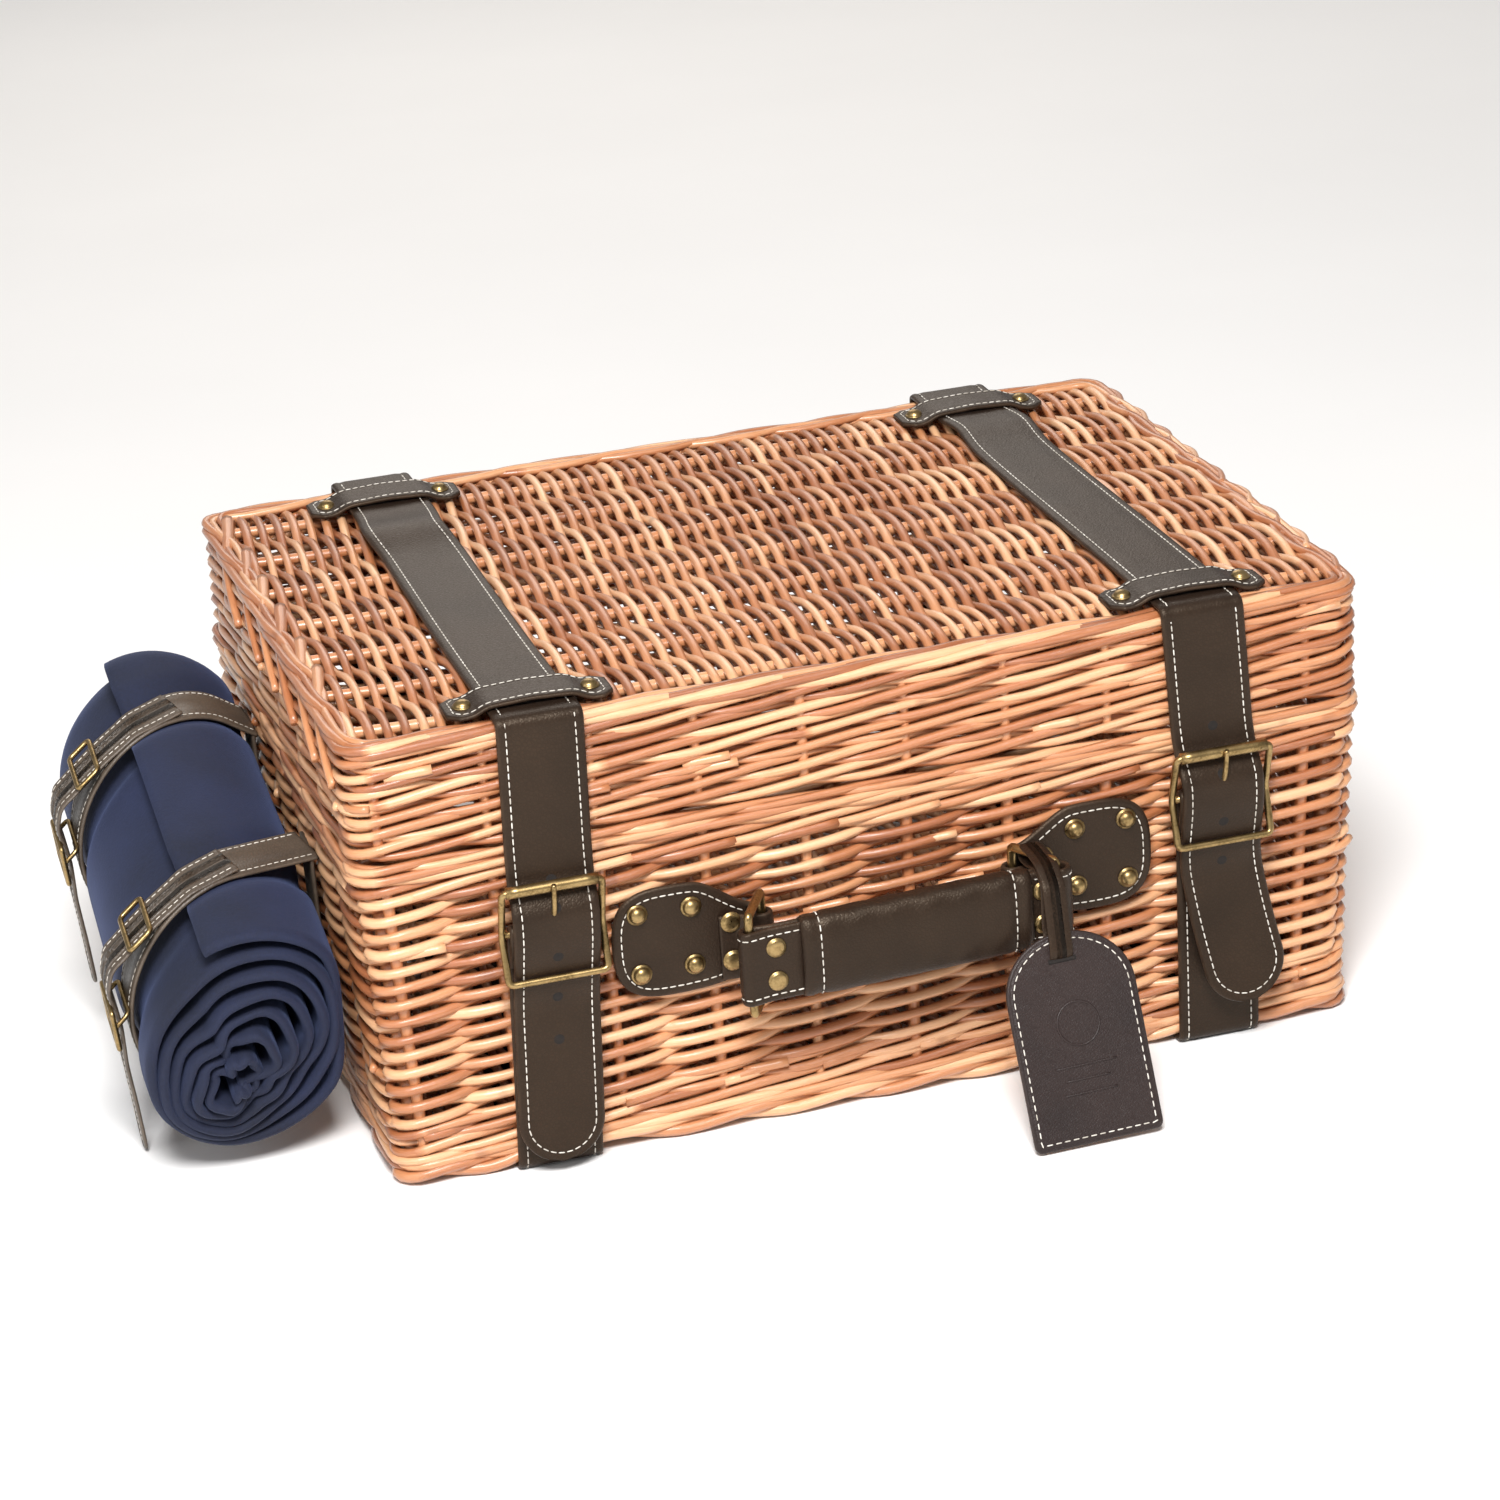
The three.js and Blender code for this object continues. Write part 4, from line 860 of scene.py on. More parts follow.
# %% [markdown]
# ## Cut ends and the hinge
# Here and there a rod runs out and its end shows as a small round cut. The lid turns on a willow rod
# at its back edge, and two loops of split cane tie that rod to the body's top border.
# %% Cut ends and hinge rod
def cut_ends(shape, way, count, low, high):
    """Short rods that slant out between two weavers, with a flat cut end."""
    for _ in range(count):
        s0, z0 = draw.uniform(0, way.long), draw.uniform(low, high)
        s = s0 + np.linspace(0, 20, 6)
        out = MIDDLE + np.linspace(1.5, 5.0, 6)
        place, up = way.at(s, z0 + 0.12 * (s - s0), out)
        tube(shape, place, draw.uniform(1.6, 2.2), up, sides=8, tone=draw.uniform(0.3, 0.9))


body_ends = Shape()
cut_ends(body_ends, BODY_ROUND, 34, 20, 142)
x = np.linspace(-120, 120, 40)
tube(body_ends, np.stack([x, np.full(40, LID_BACK), np.full(40, 149.0)], 1), 3.0, tone=0.4)
finish_piece(body_ends, "body_rod_ends", [WILLOW], "basket", "willow")
lid_ends = Shape()
cut_ends(lid_ends, LID_ROUND, 22, 160, 196)
x = np.linspace(-224, 224, 80)
tube(lid_ends, np.stack([x, np.full(80, LID_BACK), np.full(80, 158.0)], 1), 3.0, sides=12, tone=0.5)
finish_piece(lid_ends, "lid_hinge_and_rod_ends", [WILLOW], "lid", "willow", "lid_hinge_rod")
for side in ("left", "right"):
    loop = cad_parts[f"hinge_loop_{side}"]
    loop.data.materials.clear()
    loop.data.materials.append(CANE)


# %% [markdown]
# ## The two long straps
# Each strap is one length of leather that comes down the back from the lid, under the base and up the
# front to its buckle, and another that goes over the lid and hangs down in front as the tail. A strap
# can't stretch, so where it crosses the hinge it bends: it follows the body below and the lid above.
# %% Paths of the straps
def strap_front(z):
    """How far out the middle of the leather lies on the body."""
    return half_depth(z) + 2.4


def flare(side, y, z):
    """How far a strap strays outwards down the front: the left one evenly, the right one sooner."""
    front = np.clip(-np.asarray(y, float) / 170.0, 0, 1)
    if side == "left":
        return -6.7 * front * np.clip((208.0 - z) / 208.0, 0, 1)
    return 5.0 * front * np.clip((208.0 - z) / 80.0, 0, 1)


def side_path(points, reach, side, sway=0.0):
    """A path given as (y, z), eased at its corners, placed at the strap's x."""
    yz = smoothed(np.array(points, float), reach, 1.5)
    s = lengths(yz)
    x = STRAP_X[side] + sway * np.sin(s / 61.0 + (0 if side == "left" else 2)) * np.minimum(s / 60, 1)
    x = x + flare(side, yz[:, 0], yz[:, 1])
    return np.concatenate([x[:, None], yz], axis=1)


def outward(path, side=1):
    """Up for a strap that lies in a plane across x: along turned a quarter about x."""
    along = unit(np.gradient(path, axis=0))
    return side * np.stack([np.zeros(len(path)), -along[:, 2], along[:, 1]], axis=1)


def round_bar(x, y, reach, angles, sense=1):
    """Points on a circle about (x, y): (x + sense reach cos t, y + reach sin t)."""
    return [(x + sense * reach * math.cos(t), y + reach * math.sin(t)) for t in angles]


def plan_normal(path):
    """For a path drawn in plan, the way to its left: along turned a quarter about z."""
    along = unit(np.gradient(path, axis=0))
    return np.stack([-along[:, 1], along[:, 0], np.zeros(len(path))], axis=1)


def strap_under(side):
    """From the hinge down the back, under the base and up to the buckle's bar, and round it."""
    bar_y, bar_z = BUCKLE[side]["bar"]
    fold = 3.4
    angle = np.linspace(0, np.pi, 9)
    points = [(171.6, 164.6), (172.0, 158), (171.9, 150), (strap_front(120), 120), (strap_front(8), 8),
              (strap_front(0), 1.5), (-strap_front(0), 1.5), (-strap_front(8), 8), (bar_y + fold, bar_z)]
    points[1:1] = [(169.9, 166.2)]
    points[0] = (169.3, 169.5)
    points += round_bar(bar_y, bar_z, fold, angle[1:])
    points += [(bar_y + fold - 3.4, bar_z - 12), (bar_y + fold - 3.4, bar_z - 16)]
    return side_path(points, 7, side)


def buckle_places(side, bar_y, top_y, low_y, tail_y):
    """Where a buckle's middle, top and low bars are, as (y, z), and how far out the tail passes."""
    z = BAR_Z[side]
    return {"bar": (bar_y, z), "top": (top_y, z + BUCKLE_UP), "low": (low_y, z - BUCKLE_DOWN), "tail": tail_y}


BUCKLE = {"left": buckle_places("left", -174.534, -181.93, -180.63, -181.33),
          "right": buckle_places("right", -174.761, -182.16, -180.86, -181.56)}


def strap_over(side):
    """From the hinge up the lid's back, over the top, down the front and on as the tail."""
    bar_z = BAR_Z[side]
    tail = BUCKLE[side]["tail"]
    rest = -(half_depth(bar_z - 34) + 2.4) - 3.8
    points = [(169.3, 165.4), (169.3, 209.9), (140, 210.0), (90, 210.2), (40, 210.0), (-20, 210.1),
              (-90, 210.0), (-150, 209.9), (-172.4, 209.9), (-172.4, 152.7),
              (tail + 7.4, bar_z + 22), (tail, bar_z + 9), (tail, bar_z - 3), (tail + 4.4, bar_z - 21),
              (rest, bar_z - 36), (rest, TIP_Z[side])]
    return side_path(points, 8, side, 0.7)


def swing_tail(path, side):
    """The tail hangs a little off straight: x and y move with the square of the drop below the buckle."""
    drop = np.clip((BAR_Z[side] - 25 - path[:, 2]) / 80.0, 0, 1) * (path[:, 1] < -171)
    path[:, 0] += {"left": -0.5, "right": 14.0}[side] * drop ** 1.3
    path[:, 1] -= {"left": 2.0, "right": 9.0}[side] * drop ** 1.5
    return path


def lid_buckles_up(path, side):
    """Each strap bulges where it has been bent: a low bump and a small sideways kink on the lid."""
    on_lid = path[:, 2] > 208.5
    bump_at = {"left": 78.0, "right": 100.0}[side]
    bump = np.exp(-((path[:, 1] - bump_at) / 20.0) ** 2) * on_lid
    path[:, 2] += {"left": 4.2, "right": 2.0}[side] * bump
    path[:, 0] += {"left": -3.2, "right": 1.6}[side] * bump
    return path


# %% Strap pieces
def round_tip(band, radius):
    """Share of the width near the strap's end: a half circle, sqrt(1 - (1 - d / r)^2)."""
    d = np.clip((band.s[-1] - band.s) / radius, 0, 1)
    return np.maximum(np.sqrt(1 - (1 - d) ** 2), 0.02)


def tip_seam(shape, band, s0, inset=4.0):
    """Stitches down one edge from s0, round the tip and back up the other edge."""
    r = band.wide / 2 - inset
    end = band.s[-1] - band.wide / 2
    turn = np.linspace(-np.pi / 2, np.pi / 2, 15)
    s = np.concatenate([np.linspace(s0, end, 80), end + r * np.cos(turn), np.linspace(end, s0, 80)])
    a = np.concatenate([np.full(80, -r), r * np.sin(turn), np.full(80, r)])
    stitches(shape, band.at(s, a, np.full(len(s), band.thick / 2 - 0.1)), band.normal(s))


def punched_hole(shape, band, s, radius=2.0):
    """A punched hole that is not cut: a shallow dish on the leather's face, a disc with a ring pressed in
    round it, all painted near black as the shade inside the hole.
    """
    angle = 2 * np.pi * np.arange(14) / 14
    rings = []
    for reach, height in ((0.05, -0.06), (radius * 0.75, -0.05), (radius, 0.02), (radius * 1.25, -0.2)):
        rings.append(band.at(s + reach * np.cos(angle), reach * np.sin(angle),
                             np.full(14, band.thick / 2 + 0.12 + height)))
    shape.add(np.array(rings), [grid_faces(4, 14, wrap_columns=True), np.arange(14)[::-1][None]],
              finish=2)


# Painted shade: the inside of a hole, near black with a little fibre noise, since no opening is cut.
def hole_shade_finish(net):
    place = net.place()
    fibres = net.noise(place, 500.0, 3.0)
    return {"Base Color": net.ramp(fibres, (0.2, srgb(14, 10, 8)), (0.9, srgb(34, 25, 20)))}


HOLE_SHADE = material("punched hole shade", hole_shade_finish, Roughness=0.9)

for side in ("left", "right"):
    lower = Shape()
    path = strap_under(side)
    band = Band(path, outward(path), STRAP_WIDE)
    band.solid(lower)
    band_seam(lower, band, 8, band.s[-1] - 30)
    piece = finish_piece(lower, f"strap_{side}_round_body", [HIDE, THREAD], None, "leather",
                         f"strap_lower_{side}", f"strap_bend_{side}")
    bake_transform(piece)

    upper = Shape()
    path = lid_buckles_up(swing_tail(strap_over(side), side), side)
    band = Band(path, outward(path, -1), STRAP_WIDE)
    band.solid(upper, taper=round_tip(band, STRAP_WIDE / 2))
    tip_seam(upper, band, 6.0)
    for rise in (36, 11, -11, -31.5, -52):
        s_hole = np.interp(-(BAR_Z[side] + rise), -path[-90:, 2], band.s[-90:])
        if rise > -40 or side == "left":
            punched_hole(upper, band, s_hole)
    piece = finish_piece(upper, f"strap_{side}_over_lid", [HIDE, THREAD, HOLE_SHADE], None, "leather",
                         f"strap_upper_{side}", f"strap_tail_{side}")
    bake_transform(piece)


# %% [markdown]
# ## Keepers and rivets
# Four short cross-pieces hold the straps to the lid. Each is a strip that steps up over the strap and
# down again, stitched all round, with its corners cut, and a domed rivet through each foot.
# %% Rivets
def rivet(shape, centre, up, radius=4.5, dome=0.7, finish=0):
    """A dome on a flat rim, turned about up: reach = r cos t, height = dome r sin t."""
    up = unit(np.asarray(up, float))
    side = unit(np.cross(up, (0.3, 0.7, 0.6)))
    other = np.cross(up, side)
    t = np.radians([86, 70, 52, 34, 16, 0])
    reach = np.concatenate([radius * 0.82 * np.cos(t), [radius * 0.86, radius, radius, radius * 0.9]])
    height = np.concatenate([dome * radius * np.sin(t) + 0.9, [0.75, 0.6, 0.0, -0.4]])
    angle = 2 * np.pi * np.arange(18) / 18
    ring = np.cos(angle)[None, :, None] * side + np.sin(angle)[None, :, None] * other
    points = np.asarray(centre, float) + reach[:, None, None] * ring + height[:, None, None] * up
    faces = [grid_faces(len(reach), 18, wrap_columns=True, flip=True), np.arange(18)[None],
             np.arange(18)[::-1][None] + (len(reach) - 1) * 18]
    shape.add(points, faces, finish=finish)


# %% Keepers
def keeper_path(x, y):
    """Across the strap: feet on the lid, roof over the leather."""
    foot, roof = 209.7, 213.15
    points = [(x - 36, foot), (x - 25.5, foot), (x - 19.0, roof), (x, roof + 0.9), (x + 19.0, roof),
              (x + 25.5, foot), (x + 36, foot)]
    xz = smoothed(np.array(points), 7.5, 1.0)
    return np.stack([xz[:, 0], np.full(len(xz), y), xz[:, 1]], axis=1)


def clipped(band, clip=5.0):
    """Share of the width near both ends: cut corners, eased."""
    d = np.minimum(band.s, band.s[-1] - band.s)
    return np.clip(0.62 + 0.38 * d / clip, 0, 1)


for side, x in STRAP_X.items():
    for end, y in (("front", -150.0), ("back", 135.0)):
        keeper = Shape()
        path = keeper_path(x, y + draw.normal(0, 0.5))
        band = Band(path, (0, 0, 1), 25.0, 2.5)
        band.solid(keeper, taper=clipped(band))
        last = band.s[-1]
        s = np.array([3.2, 3.2, 6.5, last - 6.5, last - 3.2, last - 3.2, last - 6.5, 6.5, 3.2, 3.2])
        a = np.array([0, -6.5, -9.3, -9.3, -6.5, 6.5, 9.3, 9.3, 6.5, 0])
        line = resample(np.stack([s, a], 1), 1.5)
        stitches(keeper, band.at(line[:, 0], line[:, 1], np.full(len(line), 1.2)), band.normal(line[:, 0]),
                 pitch=3.4, long=2.5, wide=0.5)
        finish_piece(keeper, f"keeper_{end}_{side}_leather", [HIDE, THREAD], "lid", "leather",
                     f"keeper_{end}_{side}")
        studs = Shape()
        for off in (-27.5, 27.5):
            rivet(studs, (x + off, y, 210.8), (0, 0, 1), 4.6, 0.5)
        finish_piece(studs, f"keeper_{end}_{side}_rivets", [BRASS], "lid", "brass",
                     f"rivet_{end}_{side}_a", f"rivet_{end}_{side}_b")


# %% [markdown]
# ## The big buckles
# Each buckle is bent from brass wire: a frame whose side wires are kinked so that its middle bar lies
# against the body's strap, a thick bar at the top that the tail is pulled over, and a loose tongue.
# %% Buckles and tongues
def eased_loop(points, reach, step=1.2):
    """A closed loop of straight runs with its corners eased by a moving mean round the loop."""
    closed = np.array([*points, points[0]], float)
    fine = resample(closed, step)[:-1]
    wide = max(int(reach / step) | 1, 3)
    padded = np.concatenate([fine[-(wide // 2):], fine, fine[:wide // 2]])
    kernel = np.ones(wide) / wide
    return np.stack([np.convolve(padded[:, k], kernel, "valid") for k in range(3)], axis=1)


def bar_x(shape, x0, x1, y, z, radius, sides=14):
    """A straight bar along x."""
    x = np.linspace(x0, x1, 9)
    tube(shape, np.stack([x, np.full(9, y), np.full(9, z)], 1), radius, sides=sides)


for side in STRAP_X:
    made = BUCKLE[side]
    x = STRAP_X[side] + flare(side, -170.0, made["bar"][1])
    corners = []
    for name, sign in (("top", -1), ("top", 1), ("bar", 1), ("low", 1), ("low", -1), ("bar", -1)):
        corners.append((x + sign * 21.9, *made[name]))
    buckle = Shape()
    tube(buckle, eased_loop(corners, 6.5), 1.6, (0, -1, 0.2), sides=12, closed=True)
    bar_x(buckle, x - 20, x + 20, *made["top"], 2.6)
    bar_x(buckle, x - 21.9, x + 21.9, *made["bar"], 1.6)
    finish_piece(buckle, f"buckle_{side}", [BRASS], f"buckle_{side}", "brass", f"buckle_frame_{side}")
    bar_y, bar_z = made["bar"]
    turn = 2 * np.pi * np.arange(20) / 20
    tongue = Shape()
    eye = np.stack([np.full(20, x), bar_y + 3.15 * np.cos(turn), bar_z + 3.15 * np.sin(turn)], 1)
    tube(tongue, eye, 1.3, (1, 0, 0), sides=8, closed=True)
    tip = smoothed([(x, bar_y - 2.9, bar_z + 1.2), (x, made["tail"] + 0.6, bar_z + 8.0),
                    (x, made["tail"] - 2.4, bar_z + 12.5), (x, made["top"][0] - 4.0, bar_z + 24.0)], 6, 1.5)
    tube(tongue, tip, np.linspace(1.35, 1.1, len(tip)), (1, 0, 0), sides=10)
    finish_piece(tongue, f"tongue_{side}", [BRASS], f"tongue_{side}", "brass", f"buckle_tongue_{side}")


# %% [markdown]
# ## The handle: anchors and rings
# A drop-shaped plate of leather is riveted to the wall at each end. Its narrow end folds round one bar
# of a wire ring and back on itself. The handle folds round the other bar of that ring.
# %% Plates
HANDLE_Z = 89.5
RING_IN = {"left": (-55.0, -174.76), "right": (59.0, -174.76)}
RING_OUT = {"left": (-67.21, -197.72), "right": (71.21, -197.72)}
RING_RISE = 3.0


def inset_line(outline, inset):
    """A closed outline moved in by a distance, along the left of its own direction."""
    outline = np.asarray(outline, float)
    step = unit(np.roll(outline, -1, axis=0) - np.roll(outline, 1, axis=0))
    return outline + inset * np.stack([-step[:, 1], step[:, 0]], axis=1)


def plate(shape, outline, place, thick=LEATHER, mirrored=False, reach=1.0):
    """A flat piece with soft edges. The outline is drawn in by a distance d and raised by a height h,
    ring after ring from the middle of the face over the edge to the back; place turns (a, b, h) to xyz."""
    h = thick / 2
    rings = [(7.0, h), (5.2, h + 0.03), (4.0, h - 0.28), (2.6, h), (1.2, h - 0.18), (0.25, h * 0.55),
             (0.0, 0.0), (0.25, -h * 0.55), (1.2, -h)]
    points, across = [], []
    for inset, height in rings:
        ab = inset_line(outline, reach * inset)
        points.append(place(np.concatenate([ab, np.full((len(ab), 1), height)], axis=1)))
        across.append(np.full(len(ab), 1 - inset / 18))
    m = len(outline)
    turn = -1 if mirrored else 1
    faces = [grid_faces(len(rings), m, wrap_columns=True, flip=not mirrored), np.arange(m)[::turn][None],
             np.arange(m)[::-turn][None] + (len(rings) - 1) * m]
    shape.add(np.array(points), faces, 0.0, np.concatenate(across))


def outline_seam(shape, outline, place, thick, inset=4.0, **options):
    """Stitches along the whole outline drawn in by inset."""
    line = inset_line(outline, inset)
    line = np.concatenate([line, line[:1]])
    flat = np.concatenate([line, np.full((len(line), 1), thick / 2 - 0.1)], axis=1)
    up = place(np.array([[0, 0, 1.0]])) - place(np.array([[0, 0, 0.0]]))
    stitches(shape, place(flat), np.repeat(up, len(line), axis=0), **options)


def anchor_outline(long=66.0):
    """Drop: from the fold along the lower edge to the wide end and back along the upper edge. The wide
    end is a squarish oval, half of (|a|^n + |b|^n = 1); a is measured from the fold, b from the middle."""
    half_a, half_b, middle_a, middle_b = 27.0, 25.5, long - 27.0, 8.0
    turn = np.radians(np.linspace(-100, 100, 33))
    c, s = np.cos(turn), np.sin(turn)
    arc = np.stack([middle_a + half_a * np.sign(c) * np.abs(c) ** 0.66,
                    middle_b + half_b * np.sign(s) * np.abs(s) ** 0.72], axis=1)
    t = np.linspace(0, 1, 12)[:-1, None]
    ease = t * t * (3 - 2 * t)
    low = np.concatenate([t * arc[0, 0], -13.5 + ease * (arc[0, 1] + 13.5)], axis=1)
    high = np.concatenate([t * arc[-1, 0], 18.5 + ease * (arc[-1, 1] - 18.5)], axis=1)[::-1]
    return np.concatenate([low, arc, high])


# %% Anchors
def anchor(side):
    """The plate on the wall, its fold round the ring and its six rivets."""
    away = {"left": -1, "right": 1}[side]
    fold_x, bar_y = RING_IN[side]
    z0 = HANDLE_Z + (4.0 if side == "right" else 0.0)

    def place(abh):
        return np.stack([fold_x + away * abh[:, 0], -170.86 - abh[:, 2], z0 + abh[:, 1]], axis=1)

    shape = Shape()
    plate(shape, anchor_outline(), place, mirrored=away < 0)
    line = inset_line(anchor_outline(), 4.0)[2:-2]
    flat = np.concatenate([line, np.full((len(line), 1), 1.4)], axis=1)
    stitches(shape, place(flat), np.tile((0.0, -1.0, 0.0), (len(flat), 1)))
    turn = np.linspace(0.5 * np.pi, -0.5 * np.pi, 13)
    xy = [(fold_x + away * 6, bar_y + 3.9)]
    xy += round_bar(fold_x, bar_y, 3.9, turn, -away)
    xy += [(fold_x + away * 7, bar_y - 2.6), (fold_x + away * 11, bar_y + 0.6),
           (fold_x + away * 19, bar_y + 0.9)]
    xy = smoothed(np.array(xy), 3.5, 1.0)
    path = np.stack([xy[:, 0], xy[:, 1], np.full(len(xy), HANDLE_Z + 1.0)], axis=1)
    Band(path, away * plan_normal(path), 30.0, 2.6).solid(shape)
    finish_piece(shape, f"handle_anchor_{side}", [HIDE, THREAD], "basket", "leather", f"anchor_{side}")
    studs = Shape()
    for a, b, dome in ANCHOR_RIVETS:
        y = -172.4 if a > 20 else bar_y - 0.9
        rivet(studs, (fold_x + away * a, y, z0 + b), (0, -1, 0), 4.7, dome)
    finish_piece(studs, f"handle_anchor_{side}_rivets", [BRASS], "basket", "brass")


ANCHOR_RIVETS = [(54.3, 23.0, 0.62), (54.3, -5.0, 0.62), (30.4, 22.5, 0.62), (30.4, -4.5, 0.62),
                 (14.1, 13.5, 0.16), (14.1, -4.5, 0.16)]
for side in ("left", "right"):
    anchor(side)
    ring = Shape()
    (x0, y0), (x1, y1) = RING_IN[side], RING_OUT[side]
    low, top = 68.0, 111.0 + RING_RISE
    corners = [(x0, y0, low), (x0, y0, top), (x1, y1, top), (x1, y1, low)]
    tube(ring, eased_loop(corners, 3.5), 2.0, (y1 - y0, x0 - x1, 0), sides=12, closed=True)
    finish_piece(ring, f"handle_ring_{side}", [BRASS], f"ring_{side}", "brass", f"ring_{side}")


# %% [markdown]
# ## The handle: strap and padded grip
# One strap of doubled leather runs between the rings. It folds round each ring and its ends lie on its
# own front, held by two flat rivets. A stuffed sleeve is sewn round its middle: a tube of leather that
# is fullest halfway and pulled in at the hems, open at both ends.
# %% Handle strap
def handle_rise(x):
    """The handle hangs a little askew: its right end sits higher in its ring."""
    return 1.2 + 4.3 * (x + 67.0) / 138.0


def handle_path():
    """In plan: front flap, round the left bar, along the back layer, round the right bar, front flap."""
    x_left, y = RING_OUT["left"]
    x_right = RING_OUT["right"][0]
    points = [(-40.0, y - 1.6), (-59.0, y - 1.6)]
    points += round_bar(x_left, y, 3.9, np.linspace(1.35 * np.pi, 0.6 * np.pi, 9))
    points += [(-57.0, y + 1.6), (60.0, y + 1.6)]
    points += round_bar(x_right, y, 5.3, np.linspace(0.4 * np.pi, -0.4 * np.pi, 9))
    points += [(62.0, y - 1.6), (55.0, y - 1.6)]
    xy = smoothed(np.array(points), 3.0, 1.0)
    return np.stack([xy[:, 0], xy[:, 1], HANDLE_Z + handle_rise(xy[:, 0])], axis=1)


handle = Shape()
path = handle_path()
band = Band(path, plan_normal(path), 34.0, 2.9)
band.solid(handle)
for s0, s1 in ((1.0, 34.0), (band.s[-1] - 26.0, band.s[-1] - 1.0)):
    band_seam(handle, band, s0, s1, inset=3.2)
finish_piece(handle, "handle_strap_leather", [HIDE, THREAD], "handle", "leather", "handle_strap")
studs = Shape()
for x, z in ((-56.6, 97.5), (-56.6, 82.0), (63.5, 97.5), (63.5, 82.0)):
    rivet(studs, (x, RING_OUT["left"][1] - 3.0, z + handle_rise(x)), (0, -1, 0), 4.5, 0.16)
finish_piece(studs, "handle_rivets", [BRASS], "handle", "brass")


# %% Padded grip
def grip_surface():
    """Outside and inside of the sleeve as one closed grid. Around, y = hy cos^0.8 and z = hz sin^0.6;
    along, both are full in the middle and pulled in at the hems, with small creases from the stuffing."""
    x0, x1 = -45.5, 58.5
    t = np.concatenate([np.linspace(0, 1, 65), np.linspace(1, 0, 33)])
    inner = np.concatenate([np.zeros(65), np.full(33, 2.6)])
    edge = np.minimum(t, 1 - t) * (x1 - x0)
    hem = np.exp(-((edge - 7.5) / 2.2) ** 2) * (inner == 0)
    roll = np.where(inner == 0, 1.6 * np.exp(-(edge / 1.3) ** 2), 0)
    full = 1.0 - 0.5 * np.exp(-edge / 12.0)
    angle = 2 * np.pi * np.arange(48) / 48
    cy, sz = np.cos(angle), np.sin(angle)
    shape_y = np.sign(cy) * np.abs(cy) ** 0.8
    shape_z = np.sign(sz) * np.abs(sz) ** 0.6
    crease = 0.25 * np.sin(t[:, None] * 41 + 2 * np.sin(angle[None] * 2)) * np.sin(angle[None] * 3)
    hy = (6.2 + 1.8 * full - 0.9 * hem - roll - inner)[:, None] + crease
    hz = (18.0 + 1.0 * full - 0.5 * hem - 0.5 * roll - inner)[:, None] + 0.6 * crease
    rise = handle_rise(x0 + (x1 - x0) * t)[:, None]
    x = np.broadcast_to((x0 + (x1 - x0) * t)[:, None], hy.shape)
    y = RING_OUT["left"][1] + hy * shape_y[None]
    z = HANDLE_Z + rise + hz * shape_z[None]
    return np.stack([x, y, z], axis=-1), angle


grip = Shape()
points, angle = grip_surface()
rows, columns = points.shape[:2]
grip.add(points, grid_faces(rows, columns, wrap_rows=True, wrap_columns=True, flip=True),
         np.repeat(np.arange(rows), columns), 0.0, 0.5)
for row in (5, 59):
    line = np.concatenate([points[row], points[row][:1]])
    ring_up = unit(line - line.mean(axis=0))
    stitches(grip, line + 0.15 * ring_up, ring_up, pitch=3.8, long=2.8)
piece = finish_piece(grip, "handle_grip_sleeve", [HIDE, THREAD], "handle", "leather", "handle_grip")


# %% [markdown]
# ## The luggage tag
# A thick leather tag with an arched top hangs in front of the handle from a flat loop that goes round
# the right ring's top. It leans on the ground. A plain pressed mark of a ring and three bars stands on
# its face.
# %% Tag
TAG_TOP = np.array([64.493, -211.09, 87.0])
TAG_LONG = 92.0
TAG_LEAN = math.acos((TAG_TOP[2] - 1.4) / TAG_LONG)
TAG_TURN = 0.03


def on_tag(abh):
    """From the tag's flat drawing (a across, b up from its top edge, h out of its face) to its place."""
    c, s = math.cos(TAG_LEAN), math.sin(TAG_LEAN)
    a, b, h = abh[:, 0], abh[:, 1], abh[:, 2]
    slide = 2.5 - TAG_TURN * b
    b = b + TAG_TURN * a
    return np.stack([TAG_TOP[0] + a + slide, TAG_TOP[1] + b * s - h * c, TAG_TOP[2] + b * c + h * s], axis=1)


def tag_outline():
    """Straight sides and foot with small round corners, and an arch for the top."""
    half, long, foot = 29.5, TAG_LONG, 3.5
    turn = np.linspace(0, np.pi, 33)
    arch = np.stack([half * np.cos(turn), 0.9 * half * (np.sin(turn) - 1)], axis=1)
    left = np.stack([np.full(20, -half), np.linspace(arch[-1, 1], -long + foot, 21)[1:]], axis=1)
    quarter = np.linspace(np.pi, 1.5 * np.pi, 7)[1:-1]
    low_left = np.stack([-half + foot + foot * np.cos(quarter), -long + foot + foot * np.sin(quarter)], 1)
    foot_line = np.stack([np.linspace(-half + foot, half - foot, 16), np.full(16, -long)], axis=1)
    low_right = low_left[::-1] * (-1, 1)
    right = left[::-1] * (-1, 1)
    return np.concatenate([arch, left, low_left, foot_line, low_right, right])


def pressed_mark(shape):
    """A ring and three bars as low beads, half sunk in the face."""
    turn = 2 * np.pi * np.arange(40) / 40
    ring = np.stack([9.5 * np.cos(turn), -40 + 9.5 * np.sin(turn), np.full(40, 1.15)], axis=1)
    up = on_tag(np.array([[0, -50, 1.0]])) - on_tag(np.array([[0, -50, 0.0]]))
    tube(shape, on_tag(ring), 0.55, up, sides=6, closed=True)
    for b, half in ((-58, 14.0), (-64, 10.0), (-70, 12.0)):
        a = np.linspace(-half, half, 14)
        tube(shape, on_tag(np.stack([a, np.full(14, b), np.full(14, 1.15)], 1)), 0.55, up, sides=6)


